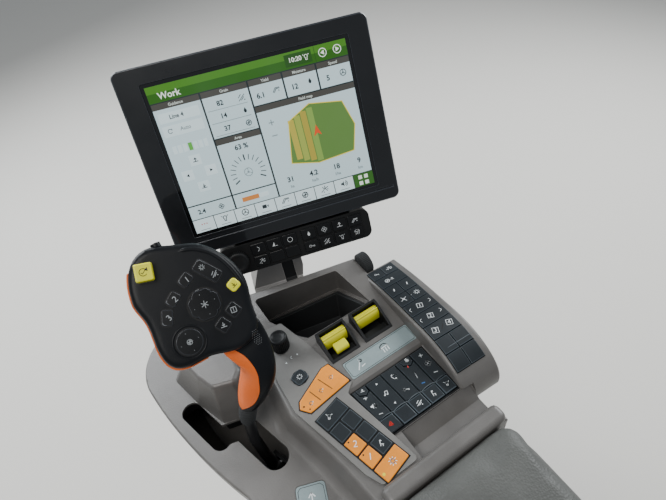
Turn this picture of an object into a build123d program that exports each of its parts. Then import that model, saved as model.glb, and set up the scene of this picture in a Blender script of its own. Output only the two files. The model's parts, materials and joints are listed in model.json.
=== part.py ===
from build123d import *
from math import atan2, cos, degrees, radians, sin, tan
import os

# The right-hand armrest console of a combine harvester's cab: a moulded housing with key decks,
# a storage bin, a gated drive lever and a padded armrest, and a touchscreen display on a neck.
# Millimetres. X runs to the right of the seat, Y forward and Z up. The origin is the centre of
# the four seat bolts, on the outer face of the steel bracket.

# Levels above the seat bolts
SEAM_Z = 134            # where the top cover meets the lower housing
DECK_Z = 157            # lever deck
PANEL_Z = 180           # key panel
VALLEY_Z = 162          # shallow trough between the keys and the armrest
PAD_TOP_Z = 190
FLOOR_Z = 52            # underside of the lower housing
BASE_Z = 84             # underside of the armrest beam

# Wall thicknesses and clearances
WALL = 3.5
SEAT = 0.3              # between a soft or loose piece and what carries it
KEY_GAP = 1.2           # between neighbouring keys
KEY_RISE = 1.6          # keys above their frame

# Armrest beam and pad
PAD_LEFT = 2
PAD_RIGHT = 147
PAD_FRONT = 163
PAD_REAR = -140
PAD_THICK = 26
PAD_CORNER = 16
PAD_EDGE_R = 12
LID_THICK = 5
BEAM_INSET = 5          # beam sides inside the pad's sides
LID_INSET = 3           # lid inside the pad's sides
HOUSING_REAR = PAD_FRONT + SEAT
BEAM_WALL = 12
BEAM_FLOOR = 10
BEAM_REAR_WALL = 26
BEAM_FRONT_WALL = 22
LID_Z = PAD_TOP_Z - PAD_THICK - LID_THICK       # underside of the lid

# Armrest hinge across the rear of the beam: one long knuckle between two lugs
LIFT_R = 6
LIFT_PIN_R = 2.5
LIFT_Y = PAD_REAR - LIFT_R - 1
LIFT_Z = LID_Z - 1
LIFT_LUG_W = 16
LIFT_LUG_GAP = 1        # between the knuckle and each lug
LIFT_KNUCKLE_INSET = 38     # knuckle's ends inside the lid's sides

# Seat bracket
BOLT_SPACING_Y = 120
BOLT_SPACING_Z = 80
BOLT_HOLE_R = 5.5
PLATE_THICK = 8
PLATE_MARGIN = 18       # plate beyond the bolt centres
FLANGE_WIDTH = 112

# Lever gate: a rear and a front lane that lean to the left going forward, joined by a cross slot
LANE_LEAN = 17
LANE_R = 14
LANE_TRAVEL = 45        # length of the rear lane, between its end centres
LANE_FRONT = (-75.5, 319.5)     # front end of the rear lane
NEUTRAL_BACK = 9.5      # shaft at rest, back from the front end of the rear lane
FRONT_LANE = (-103.5, 326)      # rear end of the front lane
FRONT_LANE_LENGTH = 52
FRONT_LANE_R = 11.3
CROSS_SLOT = [(-103.5, 330.5), (-75.5, 323.5)]
CROSS_R = 12
WELL_DEPTH = 21         # black collar hanging under the gate
WELL_GAP = 5            # collar's inner wall, out from the gate's edge
WELL_WALL = 2

# Key panel: its side runs out to the lever deck in a soft slope
PANEL_SLOPE = 14
PANEL_EDGE_R = 6
PANEL_FOOT_R = 14
DECK_EDGE_R = 3
RIM_LEFT_OF = -50        # deck edges left of this are its outer rim
PLATE_SINK = 1          # label plates let into the cover
PLATE_GAP = 0.6         # round the label plates
LIP = 3                 # sloping lip round the keyboard
KEY_EDGE = 0.6          # chamfer round the top of a key

# Lever
PIVOT_Z = 76
LEVER_LEAN = 8          # forward lean of the shaft's lower part at rest
KNEE_Z = 152            # above it the shaft also leans to the right
COLLAR_AT = (-68, 315.5)    # shaft's middle at the foot of the collar
SHAFT_R = 6
HUB_R = 11
HUB_W = 16
CHEEK_GAP = 2           # between the hub and the cradle's cheeks
CRADLE_T = 4
CRADLE_SIZE = (32, 28)
PIVOT_PIN_R = 4
COLLAR_Z = 184          # foot of the collar on the shaft
COLLAR_GRIPS = 6        # length of shaft inside the collar
COLLAR_WALL = 1.8
COLLAR_INSET = 1.2      # collar's top, in from the grip's edge
COLLAR_BOW = -1
HEAD_AT = (-57, 358, 335)
HEAD_TILT = 43          # face of the head, back from level
HEAD_THICK = 30

# Display, in its own plane: width and height of the frame, and where its centre hangs
SCREEN_W = 211
SCREEN_H = 158.5
FRAME_W = 266
FRAME_H = 204
FRAME_THICK = 14
FRAME_CORNER = 8
LEDGE_DOWN = 87         # groove across the frame, below its centre
DISPLAY_AT = (90, 485, 368)
DISPLAY_YAW = -16
DISPLAY_LEAN = 25.3
BAR_W = 182
BAR_H = 36
BAR_THICK = 22
BAR_GAP = 3             # under the frame
BAR_SINK = 2            # face of the bar behind the frame's face
BACK_W = 220
BACK_H = 150
BACK_THICK = 26
HINGE_AT = (-27, -51, -56.5)      # tilt pin, in the display's own plane
HINGE_R = 11
HINGE_PIN_R = 4
KNUCKLE_W = 24
NECK_W = 58
NECK_T = 26
NECK_FOOT = (55, 460)
NECK_FOOT_Z = 70
NECK_FLARE = 12         # foot wider than the neck, on its left
NECK_STRIP_X = 2        # dark strip right of the neck's middle
NECK_STRIP_W = 15
NECK_STRIP_DEEP = 5
NECK_STRIP_BACK = 1.5       # face of the strip behind the neck's face


def write(node, shape):
    export_step(shape, f"parts/{node}.step")


def face_of(*edges):
    return make_face(Curve() + list(edges))


def prism(face, low, high):
    # Upright prism on a plan outline drawn at height zero
    return Pos(0, 0, low) * extrude(face, high - low, dir=(0, 0, 1))


def block(x0, x1, y0, y1, z0, z1):
    return Pos((x0 + x1) / 2, (y0 + y1) / 2, (z0 + z1) / 2) * Box(x1 - x0, y1 - y0, z1 - z0)


def soft_block(x0, x1, y0, y1, z0, z1, corner, edge=0):
    # Block with rounded upright corners and, if asked, a rounded top edge
    plan = RectangleRounded(x1 - x0, y1 - y0, corner)
    solid = Pos((x0 + x1) / 2, (y0 + y1) / 2, z0) * extrude(plan, z1 - z0)
    if edge:
        solid = fillet(solid.faces().sort_by(Axis.Z)[-1].edges(), edge)
    return solid


def slot(a, b, radius, low, high):
    # Upright slot with round ends at a and b
    length = ((b[0] - a[0]) ** 2 + (b[1] - a[1]) ** 2) ** 0.5
    turn = degrees(atan2(b[1] - a[1], b[0] - a[0]))
    plan = SlotCenterToCenter(length, 2 * radius)
    middle = Pos((a[0] + b[0]) / 2, (a[1] + b[1]) / 2, low)
    return middle * Rot(0, 0, turn) * extrude(plan, high - low)


def across(points, x0, x1):
    # Solid with a side view drawn in Y and Z, from x0 to x1
    flat = make_face(Polyline(*points, close=True))
    return extrude(Plane(origin=(x0, 0, 0), x_dir=(0, 1, 0), z_dir=(1, 0, 0)) * flat, x1 - x0, dir=(1, 0, 0))


# Plan outlines. The tub narrows downwards, towards TUB_CENTRE.
TUB_CENTRE = (20, 340)
TUB_TAPER = 0.82


def deck_outline(share=1):
    def at(x, y):
        return (TUB_CENTRE[0] + share * (x - TUB_CENTRE[0]), TUB_CENTRE[1] + share * (y - TUB_CENTRE[1]))

    rear = at(PAD_LEFT, 120)
    side = at(-105, 258)
    nose = at(-152, 430)
    front = at(-115, 497)
    right = at(PAD_RIGHT, 435)
    return face_of(
        ThreePointArc(rear, at(-72, 172), side),
        ThreePointArc(side, at(-135, 342), nose),
        ThreePointArc(nose, at(-147, 464), front),
        Polyline(front, right, at(PAD_RIGHT, HOUSING_REAR), at(PAD_LEFT, HOUSING_REAR), rear),
    )


def panel_outline():
    rear = (PAD_LEFT - 6, HOUSING_REAR)
    waist = (-30, 292)
    left = (-26, 352)
    front = (-26, 476)
    right = (PAD_RIGHT, 435)
    return face_of(
        ThreePointArc(rear, (-14, 228), waist),
        Polyline(waist, left, front, right, (PAD_RIGHT, HOUSING_REAR), rear),
    )


# Storage bin: rim corners, front left first and then clockwise seen from above
BIN_RIM = [(4, 459), (119, 434), (126, 359), (30, 360), (5, 414)]
BIN_FLOOR_Z = 92
BIN_LEDGE = [(355, 180), (470, 120)]    # sloping ledge between liner and insert: y and z of two points on it
BIN_LEDGE_T = 3
BIN_LEDGE_IN = 7        # ledge's inner edge, inside the rim
BIN_LINER_T = 2.5
BIN_CUP_T = 2.5
BIN_CUP_TAPER = 4       # insert's foot inside its top
BIN_BRIM_IN = 3         # insert's brim under the ledge, inside the rim
bin_plan = fillet(make_face(Polyline(*BIN_RIM, close=True)).vertices(), 7)

# Keyboard corners, front left first; then fields as left, right, rear, front
KEYBOARD = [(33, 279), (134, 279), (134, 216), (43, 216)]
LABEL = (47, 136, 289, 311.5)
LABEL_CORNER = 2
PADDLE_ROW = (318, 354)
PADDLES = [(39, 77), (85, 123)]
LEDGE_Y = 182           # front of the raised ledge that meets the pad
LEDGE_CORNER = 7
LEDGE_EDGE_R = 6
TROUGH_LEFT = 54        # left end of the trough, at the key strip

# Lanes of the gate
lane = (sin(radians(LANE_LEAN)), -cos(radians(LANE_LEAN)))


def along(start, distance):
    # Point that lies the given distance back along the lanes
    return (start[0] + distance * lane[0], start[1] + distance * lane[1])


neutral = along(LANE_FRONT, NEUTRAL_BACK)
rear_end = along(LANE_FRONT, LANE_TRAVEL)
front_end = along(FRONT_LANE, -FRONT_LANE_LENGTH)


def gate(low, high, extra=0):
    return (
        slot(LANE_FRONT, rear_end, LANE_R + extra, low, high)
        + slot(FRONT_LANE, front_end, FRONT_LANE_R + extra, low, high)
        + slot(*CROSS_SLOT, CROSS_R + extra, low, high)
    )


# Hump beside the gate, outlines at its foot and its top; the first corner is a narrow prow at the gate
REST_BASE = [(-94, 341.5), (-60, 329.5), (-42, 345), (-36, 420), (-60, 436), (-116, 436), (-122, 426), (-108.5, 378)]
REST_TOP = [(-85, 352), (-62, 344), (-51, 355), (-50, 396), (-64, 408), (-91, 409), (-100, 402), (-93, 372)]
REST_TOP_Z = 215
REST_CORNER = 8
PROW_FOOT_R = 3
PROW_TOP_R = 7
REST_EDGE_R = 5


def rest_outline(points, prow, inset):
    at = Vector(*points[0])
    plan = make_face(Polyline(*points, close=True))
    plan = fillet(plan.vertices().sort_by_distance(at)[0], prow + inset)
    others = [v for v in plan.vertices() if (Vector(v) - at).length > REST_CORNER + inset]
    plan = fillet(others, REST_CORNER)
    return offset(plan, -inset) if inset else plan


def rest_block(inset=0):
    foot = Pos(0, 0, DECK_Z - WALL) * rest_outline(REST_BASE, PROW_FOOT_R, inset)
    crown = Pos(0, 0, REST_TOP_Z - inset) * rest_outline(REST_TOP, PROW_TOP_R, inset)
    return loft([foot, crown])


# Side arch: its top runs through these points, y and z from the front to the foot of its rear end
ARCH_LEFT = 135.8
ARCH_W = 51
ARCH_LEAN = 2.5
ARCH_TURN_Y = 311       # the lean turns the arch about its left side here
ARCH_TOP = [(404, 177.5), (352, 190.5), (300, 199), (262, 202), (232, 195), (212, 180), (205.5, 160)]
ARCH_KEYS_LEFT = 4.2    # key field inside the arch's left side
ARCH_KEYS_W = 38
ARCH_KEY_DEEP = 3
ARCH_EDGE_R = 3.8
ARCH_EDGE_FROM = 150    # edges longer than this are the two along the top
# Rows of arch keys: front edge of the first, pitch, and keys across in each row from front to rear
ARCH_FIRST_Y = 401
ARCH_PITCH = 19.6
ARCH_ROWS = [2, 1, 2, 2, 1, 1, 1, 2, 2]
arch_turn = Pos(ARCH_LEFT, ARCH_TURN_Y, 0) * Rot(0, 0, -ARCH_LEAN) * Pos(-ARCH_LEFT, -ARCH_TURN_Y, 0)


def arch_profile(drop=0):
    # Side view of the arch, drawn in Y and Z; drop lowers the top and draws in both ends
    top = [(y, z - drop) for y, z in ARCH_TOP[1:-1]]
    front = (ARCH_TOP[0][0] - drop, ARCH_TOP[0][1] - drop)
    rear = (ARCH_TOP[-1][0] + drop, ARCH_TOP[-1][1])
    flat = face_of(
        Spline(front, *top, rear),
        Polyline(rear, (rear[0], DECK_Z), (front[0], DECK_Z), front),
    )
    return Plane(origin=(0, 0, 0), x_dir=(0, 1, 0), z_dir=(1, 0, 0)) * flat


def arch_slice(left, width, drop=0):
    return arch_turn * Pos(left, 0, 0) * extrude(arch_profile(drop), width, dir=(1, 0, 0))


def arch_pocket(rise=0):
    # Room of the key field, from the key pocket's floor up to the given rise above the arch
    keys_left = ARCH_LEFT + ARCH_KEYS_LEFT
    keys_rear = ARCH_FIRST_Y - len(ARCH_ROWS) * ARCH_PITCH
    roof = max(z for _, z in ARCH_TOP) + 2 * rise + 1
    band = arch_slice(keys_left, ARCH_KEYS_W, -rise) - arch_slice(keys_left, ARCH_KEYS_W, ARCH_KEY_DEEP)
    return band & arch_turn * block(keys_left, keys_left + ARCH_KEYS_W, keys_rear, ARCH_FIRST_Y, DECK_Z, roof)


# Display plane: x to its right, y up its face and z out towards the operator
screen_right = Vector(cos(radians(DISPLAY_YAW)), sin(radians(DISPLAY_YAW)), 0)
out_level = Vector(sin(radians(DISPLAY_YAW)), -cos(radians(DISPLAY_YAW)), 0)
screen_out = out_level * cos(radians(DISPLAY_LEAN)) + Vector(0, 0, sin(radians(DISPLAY_LEAN)))
display = Plane(origin=DISPLAY_AT, x_dir=screen_right, z_dir=screen_out)


def on_display(x, y, z):
    return display.location * Pos(x, y, z)


def deck_edges(solid, wanted):
    # Edges that lie in the deck's level and whose middle is wanted
    level = [e for e in solid.edges() if abs(e.bounding_box().min.Z - DECK_Z) < 0.01
             and abs(e.bounding_box().max.Z - DECK_Z) < 0.01]
    return [e for e in level if wanted(e.center())]


def deck_plate(gap, above):
    # Square label plate let into the lever deck
    plate = RectangleRounded(PLATE_SIZE + 2 * gap, PLATE_SIZE + 2 * gap, PLATE_CORNER + gap)
    place = Pos(*PLATE_AT, DECK_Z - PLATE_SINK) * Rot(0, 0, PLATE_TURN)
    return place * extrude(plate, PLATE_SINK + above)


def build_bracket():
    half_y = BOLT_SPACING_Y / 2 + PLATE_MARGIN
    half_z = BOLT_SPACING_Z / 2 + PLATE_MARGIN
    plate = block(0, PLATE_THICK, -half_y, half_y, -half_z, BASE_Z - PLATE_THICK)
    flange = block(0, FLANGE_WIDTH, -half_y, half_y, BASE_Z - PLATE_THICK, BASE_Z)
    bracket = plate + flange
    for y in (-half_y + 10, half_y - 10 - PLATE_THICK):
        web = make_face(Polyline((0, BASE_Z), (FLANGE_WIDTH - 12, BASE_Z), (0, -half_z + 12), close=True))
        upright = Plane(origin=(0, y, 0), x_dir=(1, 0, 0), z_dir=(0, -1, 0))
        bracket += extrude(upright * web, PLATE_THICK, dir=(0, 1, 0))
    for y in (-BOLT_SPACING_Y / 2, BOLT_SPACING_Y / 2):
        for z in (-BOLT_SPACING_Z / 2, BOLT_SPACING_Z / 2):
            bracket -= Pos(PLATE_THICK / 2, y, z) * Rot(0, 90, 0) * Cylinder(BOLT_HOLE_R, 4 * PLATE_THICK)
    write("seat_bracket", bracket)


knuckle_left = PAD_LEFT + LID_INSET + LIFT_KNUCKLE_INSET
knuckle_right = PAD_RIGHT - LID_INSET - LIFT_KNUCKLE_INSET
lug_reach = LIFT_LUG_GAP + LIFT_LUG_W


def lift_rod(x0, x1, radius):
    return Pos((x0 + x1) / 2, LIFT_Y, LIFT_Z) * Rot(0, 90, 0) * Cylinder(radius, x1 - x0)


def build_beam():
    x0 = PAD_LEFT + BEAM_INSET
    x1 = PAD_RIGHT - BEAM_INSET
    top = LID_Z - SEAT
    beam = soft_block(x0, x1, PAD_REAR, PAD_FRONT, BASE_Z, top, 14)
    beam -= soft_block(x0 + BEAM_WALL, x1 - BEAM_WALL, PAD_REAR + BEAM_REAR_WALL, PAD_FRONT - BEAM_FRONT_WALL,
                       BASE_Z + BEAM_FLOOR, top + 1, 10)
    # Two lugs carry the armrest's hinge pin
    for left in (knuckle_left - lug_reach, knuckle_right + LIFT_LUG_GAP):
        right = left + LIFT_LUG_W
        root = across([(LIFT_Y, LIFT_Z - LIFT_R), (PAD_REAR + 1, LIFT_Z - 3 * LIFT_R), (PAD_REAR + 1, LIFT_Z),
                       (LIFT_Y, LIFT_Z)], left, right)
        beam += lift_rod(left, right, LIFT_R) + root
    pin_left = knuckle_left - lug_reach
    pin_right = knuckle_right + lug_reach
    beam -= lift_rod(pin_left - 1, pin_right + 1, LIFT_PIN_R)
    write("armrest_beam", beam)
    write("armrest_pin", lift_rod(pin_left, pin_right, LIFT_PIN_R))


def build_lower_housing():
    rim = offset(deck_outline(), -1)
    foot = offset(deck_outline(TUB_TAPER), -1)
    tub = loft([Pos(0, 0, SEAM_Z) * rim, Pos(0, 0, FLOOR_Z) * foot])
    tub = offset(tub, -WALL, openings=tub.faces().sort_by(Axis.Z)[-1])
    room = block(PAD_LEFT + BEAM_INSET, PAD_RIGHT + 20, 0, PAD_FRONT, FLOOR_Z - 5, SEAM_Z + 5)
    write("lower_housing", tub - room)


def build_top_cover():
    deck = deck_outline()
    panel = panel_outline()
    foot = offset(panel, PANEL_SLOPE, kind=Kind.INTERSECTION)
    raised = loft([Pos(0, 0, DECK_Z - WALL) * foot, Pos(0, 0, PANEL_Z) * panel])
    raised = fillet(raised.faces().sort_by(Axis.Z)[-1].edges(), PANEL_EDGE_R)
    cover = prism(deck, SEAM_Z, DECK_Z) + (raised & prism(deck, SEAM_Z, PANEL_Z))
    cover = fillet(deck_edges(cover, lambda at: at.X > RIM_LEFT_OF and HOUSING_REAR - 22 < at.Y < 480), PANEL_FOOT_R)
    cover = fillet(deck_edges(cover, lambda at: at.X < RIM_LEFT_OF), DECK_EDGE_R)
    hump = rest_block()
    cover += fillet(hump.faces().sort_by(Axis.Z)[-1].edges(), REST_EDGE_R)
    cover -= prism(offset(deck, -WALL), SEAM_Z - 1, DECK_Z - WALL)
    under = loft([Pos(0, 0, DECK_Z - 2 * WALL) * offset(foot, -WALL, kind=Kind.INTERSECTION),
                  Pos(0, 0, PANEL_Z - WALL) * offset(panel, -WALL, kind=Kind.INTERSECTION)])
    cover -= under & prism(offset(deck, -WALL), SEAM_Z, PANEL_Z)
    cover -= rest_block(WALL)
    # Ledge against the pad, then the trough in front of it with its sloping front side
    top = PAD_TOP_Z - 2
    cover += soft_block(PAD_LEFT, PAD_RIGHT, HOUSING_REAR, LEDGE_Y, SEAM_Z, top, LEDGE_CORNER, LEDGE_EDGE_R)
    cover -= block(PAD_LEFT + WALL, PAD_RIGHT - WALL, HOUSING_REAR + WALL, LEDGE_Y - WALL, SEAM_Z, top - WALL)
    slope = KEYBOARD[2][1]
    trough = [(LEDGE_Y, PANEL_Z + 1), (LEDGE_Y, VALLEY_Z), (slope - 16, VALLEY_Z), (slope - 1, PANEL_Z - 5),
              (slope - 1, PANEL_Z + 1)]
    lining = [(LEDGE_Y - WALL, PANEL_Z - WALL), (LEDGE_Y - WALL, VALLEY_Z - WALL), (slope - 14, VALLEY_Z - WALL),
              (slope + WALL, PANEL_Z - 16), (slope + WALL, PANEL_Z - WALL)]
    cover += across(lining, TROUGH_LEFT - WALL, PAD_RIGHT)
    cover -= across(trough, TROUGH_LEFT, PAD_RIGHT + 1)
    cover -= gate(SEAM_Z, PANEL_Z)
    cover -= prism(bin_plan, SEAM_Z, PANEL_Z + 1)
    keyboard = make_face(Polyline(*KEYBOARD, close=True))
    cover -= prism(keyboard, SEAM_Z, PANEL_Z + 1)
    cover -= loft([Pos(0, 0, PANEL_Z - LIP) * keyboard,
                   Pos(0, 0, PANEL_Z) * offset(keyboard, LIP, kind=Kind.INTERSECTION)])
    x0, x1, y0, y1 = LABEL
    cover -= soft_block(x0 - PLATE_GAP, x1 + PLATE_GAP, y0 - PLATE_GAP, y1 + PLATE_GAP,
                        PANEL_Z - PLATE_SINK, PANEL_Z + 1, LABEL_CORNER + PLATE_GAP)
    cover -= deck_plate(PLATE_GAP, 1)
    cover -= arch_pocket(2 * PANEL_EDGE_R)
    for x0, x1 in PADDLES:
        cover -= block(x0, x1, *PADDLE_ROW, SEAM_Z, PANEL_Z + 1)
    write("top_cover", cover)


def build_arch():
    shell = arch_slice(ARCH_LEFT, ARCH_W)
    shell = fillet([e for e in shell.edges() if e.length > ARCH_EDGE_FROM], ARCH_EDGE_R)
    hollow = arch_slice(ARCH_LEFT + WALL, ARCH_W - 2 * WALL, ARCH_KEY_DEEP + WALL)
    write("side_arch", shell - arch_pocket() - hollow - prism(panel_outline(), SEAM_Z, PANEL_Z))
    keys_left = ARCH_LEFT + ARCH_KEYS_LEFT
    band = arch_pocket(KEY_RISE)
    for node, wanted in (("arch_small_keys", 2), ("arch_wide_keys", 1)):
        keys = Part()
        for row, columns in enumerate(ARCH_ROWS):
            if columns != wanted:
                continue
            front = ARCH_FIRST_Y - row * ARCH_PITCH
            width = ARCH_KEYS_W / columns
            for i in range(columns):
                x0 = keys_left + i * width + KEY_GAP / 2
                x1 = keys_left + (i + 1) * width - KEY_GAP / 2
                y0 = front - ARCH_PITCH + KEY_GAP / 2
                y1 = front - KEY_GAP / 2
                keys += band & arch_turn * block(x0, x1, y0, y1, DECK_Z, 2 * DECK_Z)
        write(node, keys)


# Left key strip: its sides beside the key rows, from the rear forward
STRIP_RIGHT = [(51, 184), (43, 228), (33, 279)]
STRIP_LEFT = [(9, 184), (1, 200), (-12, 250)]
STRIP_THICK = 2
STRIP_CORNER = 4
STRIP_LEAN = 15.5
STRIP_FIRST = (27, 195)     # centre of the rearmost key
STRIP_PITCH = 19
STRIP_KEY_W = 34
# Key rows of the strip, rear to front: keys across, and which of them are orange
STRIP_ROWS = [(1, [True]), (2, [True, False]), (2, [True, False]), (2, [False, False]), (1, [False])]
strip_reach = (len(STRIP_ROWS) - 0.5) * STRIP_PITCH
strip_end = (STRIP_FIRST[0] - strip_reach * sin(radians(STRIP_LEAN)), STRIP_FIRST[1] + strip_reach * cos(radians(STRIP_LEAN)))
# What lies in front of the key rows is drawn from the middle of the last row's front edge
STRIP_FRONT = [(40, 10), (31, 45), (25, 79), (13, 125), (-13, 128), (-26, 75), (-28, 16)]
WEDGE = [(30, 43), (39, 12), (-15, 5), (-23, 15), (-19, 23), (21, 43)]
WEDGE_CORNER = 2
LOCK_AT = (-4, 48)
LOCK_SIZE = (17, 16)
LOCK_CORNER = 4

# Keyboard: tall rocker keys in front, low keys behind, and two corner keys let into tall ones
KEY_COLUMNS = 5
KEY_SPLIT_Y = 236
KEYBOARD_WELL = 12      # depth of the tray
KEYBOARD_SINK = 0.5     # tops of the keys below the panel
KEYBOARD_WALL = 2
KEYBOARD_MARGIN = 0.6   # between the keys and the tray's wall
CORNER_COLUMNS = (0, 3)
CORNER_DEPTH = 10

# Small parts of the panel
KNOB_AT = (-2, 95)          # from the front edge of the strip's key rows
KNOB_R = 10.5
KNOB_H = 22
KNOB_RIM = 4
KNOB_DISH = 1.5
KNOB_STEM_R = 7.5
WHEEL_AT = (154, 420.5, 178)
WHEEL_R = 15
WHEEL_W = 13
PLATE_AT = (-52, 219)       # label plate on the lever deck
PLATE_SIZE = 30
PLATE_TURN = -20
PLATE_CORNER = 4


def key_cap(plan, height):
    # Key with a chamfer round its top
    cap = extrude(plan, height, dir=(0, 0, 1))
    return chamfer(cap.faces().sort_by(Axis.Z)[-1].edges(), KEY_EDGE)


def build_strip():
    front = [(strip_end[0] + x, strip_end[1] + y) for x, y in STRIP_FRONT]
    outline = make_face(Polyline(*STRIP_RIGHT, *front, *reversed(STRIP_LEFT), close=True))
    bezel = prism(fillet(outline.vertices(), STRIP_CORNER), PANEL_Z, PANEL_Z + STRIP_THICK)
    key_height = STRIP_THICK + KEY_RISE
    at_end = Pos(*strip_end, PANEL_Z)
    wedge = at_end * fillet(make_face(Polyline(*WEDGE, close=True)).vertices(), WEDGE_CORNER)
    bezel -= extrude(wedge, STRIP_THICK, dir=(0, 0, 1))
    write("range_keys", key_cap(offset(wedge, -SEAT), key_height))
    grey = Part()
    orange = Part()
    for row, (count, is_orange) in enumerate(STRIP_ROWS):
        width = STRIP_KEY_W / count
        for i, hot in enumerate(is_orange):
            x = (i - (count - 1) / 2) * width
            place = Pos(*STRIP_FIRST, 0) * Rot(0, 0, STRIP_LEAN) * Pos(x, row * STRIP_PITCH, PANEL_Z)
            well = RectangleRounded(width - KEY_GAP, STRIP_PITCH - KEY_GAP, 1.5)
            bezel -= place * extrude(well, STRIP_THICK)
            key = place * key_cap(offset(well, -SEAT), key_height)
            if hot:
                orange += key
            else:
                grey += key
    lock = at_end * Pos(*LOCK_AT, 0) * Rot(0, 0, STRIP_LEAN)
    well = RectangleRounded(*LOCK_SIZE, LOCK_CORNER)
    bezel -= lock * extrude(well, STRIP_THICK)
    grey += lock * key_cap(offset(well, -SEAT), key_height)
    write("strip_keys", grey)
    write("orange_keys", orange)
    knob_at = at_end * Pos(*KNOB_AT, 0)
    stem = knob_at * Pos(0, 0, STRIP_THICK / 2) * Cylinder(KNOB_STEM_R, STRIP_THICK)
    write("strip_bezel", bezel - stem)
    knob = Cylinder(KNOB_R, KNOB_H)
    knob = chamfer(knob.faces().sort_by(Axis.Z)[-1].edges(), 1.5)
    knob -= Pos(0, 0, KNOB_H / 2) * Cylinder(KNOB_R - KNOB_RIM, 2 * KNOB_DISH)
    write("strip_knob", knob_at * Pos(0, 0, STRIP_THICK + KNOB_H / 2) * knob + stem)


def column_edge(i, y):
    # X of the split line left of column i; the lines lean less from the left side to the right
    (left, front), (right, _), (_, rear), (left_rear, _) = KEYBOARD
    share = i / KEY_COLUMNS
    lean = (1 - share) * (left_rear - left) / (front - rear)
    return left + share * (right - left) + lean * (front - y)


def build_keyboard():
    plan = make_face(Polyline(*KEYBOARD, close=True))
    front = KEYBOARD[0][1]
    rear = KEYBOARD[2][1]
    base = PANEL_Z - KEYBOARD_WELL
    top = PANEL_Z - KEYBOARD_SINK
    tray = prism(plan, base - 4, PANEL_Z - LIP) - prism(offset(plan, -KEYBOARD_WALL), base, PANEL_Z)
    write("keyboard_tray", tray)
    inset = KEYBOARD_WALL + KEYBOARD_MARGIN
    gap = KEY_GAP / 2
    rows = [("keyboard_low_keys", rear + inset, KEY_SPLIT_Y - gap), ("keyboard_tall_keys", KEY_SPLIT_Y + gap, front - inset)]
    for node, y0, y1 in rows:
        keys = Part()
        for i in range(KEY_COLUMNS):
            inset_left = inset if i == 0 else gap
            inset_right = inset if i == KEY_COLUMNS - 1 else gap
            cell = make_face(Polyline(
                (column_edge(i, y0) + inset_left, y0), (column_edge(i + 1, y0) - inset_right, y0),
                (column_edge(i + 1, y1) - inset_right, y1), (column_edge(i, y1) + inset_left, y1), close=True))
            if y1 > KEY_SPLIT_Y and i in CORNER_COLUMNS:
                # The corner key's edge runs from the front down to a blunt point and up to the split line
                x0 = column_edge(i, y1) + inset_left
                x1 = column_edge(i + 1, y1) - gap
                step = (x1 - x0) / 4
                edge = [(x0 + step, y1), (x0 + 1.4 * step, y1 - 0.6 * CORNER_DEPTH),
                        (x1 - step, y1 - CORNER_DEPTH), (x1, y1 - 0.7 * CORNER_DEPTH)]
                corner = make_face(Polyline(*edge, (x1, y1), close=True))
                keys += Pos(0, 0, base) * key_cap(corner, top - base)
                beside = [(x - KEY_GAP / 2, y - KEY_GAP) for x, y in edge]
                beside[0] = (beside[0][0], y1 + KEY_GAP)
                right = x1 + KEY_GAP
                cell -= make_face(Polyline(*beside, (right, beside[-1][1]), (right, y1 + KEY_GAP), close=True))
            keys += Pos(0, 0, base) * key_cap(cell, top - base)
        write(node, keys)


def over_ledge(rise=0):
    # Everything above the bin's sloping ledge
    (rear, rear_z), (front, front_z) = BIN_LEDGE
    roof = PANEL_Z + 20
    side = [(rear, rear_z + rise), (front, front_z + rise), (front, roof), (rear, roof)]
    return across(side, BIN_RIM[0][0] - 10, BIN_RIM[2][0] + 10)


def build_bin():
    box = prism(bin_plan, BIN_FLOOR_Z, PANEL_Z)
    walls = box - prism(offset(bin_plan, -BIN_LINER_T), BIN_FLOOR_Z, PANEL_Z)
    ledge_in = offset(bin_plan, -BIN_LEDGE_IN)
    ledge = box - prism(ledge_in, BIN_FLOOR_Z, PANEL_Z)
    write("bin_liner", (walls & over_ledge()) + (ledge & (over_ledge() - over_ledge(BIN_LEDGE_T))))
    floor = offset(ledge_in, -BIN_CUP_TAPER)
    cup = loft([Pos(0, 0, PANEL_Z) * ledge_in, Pos(0, 0, BIN_FLOOR_Z) * floor])
    room = loft([Pos(0, 0, PANEL_Z) * offset(ledge_in, -BIN_CUP_T),
                 Pos(0, 0, BIN_FLOOR_Z + BIN_CUP_T) * offset(floor, -BIN_CUP_T)])
    brim = prism(offset(bin_plan, -BIN_BRIM_IN), BIN_FLOOR_Z, PANEL_Z) & (over_ledge(-BIN_CUP_T) - over_ledge())
    write("bin_insert", (cup - over_ledge()) + brim - room)


# Paddle switches: side views in Y and Z, from the rear edge of the row and the panel's level
CHEEK = [(0, -22), (0, 0.5), (29, 16), (36, 16), (36, -22)]
FLAP = [(15, -3), (17.5, 9), (22, 15.5), (27, 17.5), (31, 15.5), (32.4, 10), (32.4, -3)]
FLAP_RIDGES = [(24, 16.8), (29.5, 16.4)]
FLAP_RIDGE_R = 1.3
TAB = [(6, -2), (6, 3), (10, 7), (19, 9), (19, -2)]
CHEEK_T = 3
PADDLE_FLOOR = 19       # floor of the housing below the panel
PADDLE_STEP = 5         # its raised near half
PADDLE_AXLE = (26, -1)
PADDLE_AXLE_R = 3


def paddle_side(points, x0, x1):
    return across([(PADDLE_ROW[0] + y, PANEL_Z + z) for y, z in points], x0, x1)


def paddle_rod(at, radius, x0, x1):
    place = Pos((x0 + x1) / 2, PADDLE_ROW[0] + at[0], PANEL_Z + at[1])
    return place * Rot(0, 90, 0) * Cylinder(radius, x1 - x0)


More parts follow.
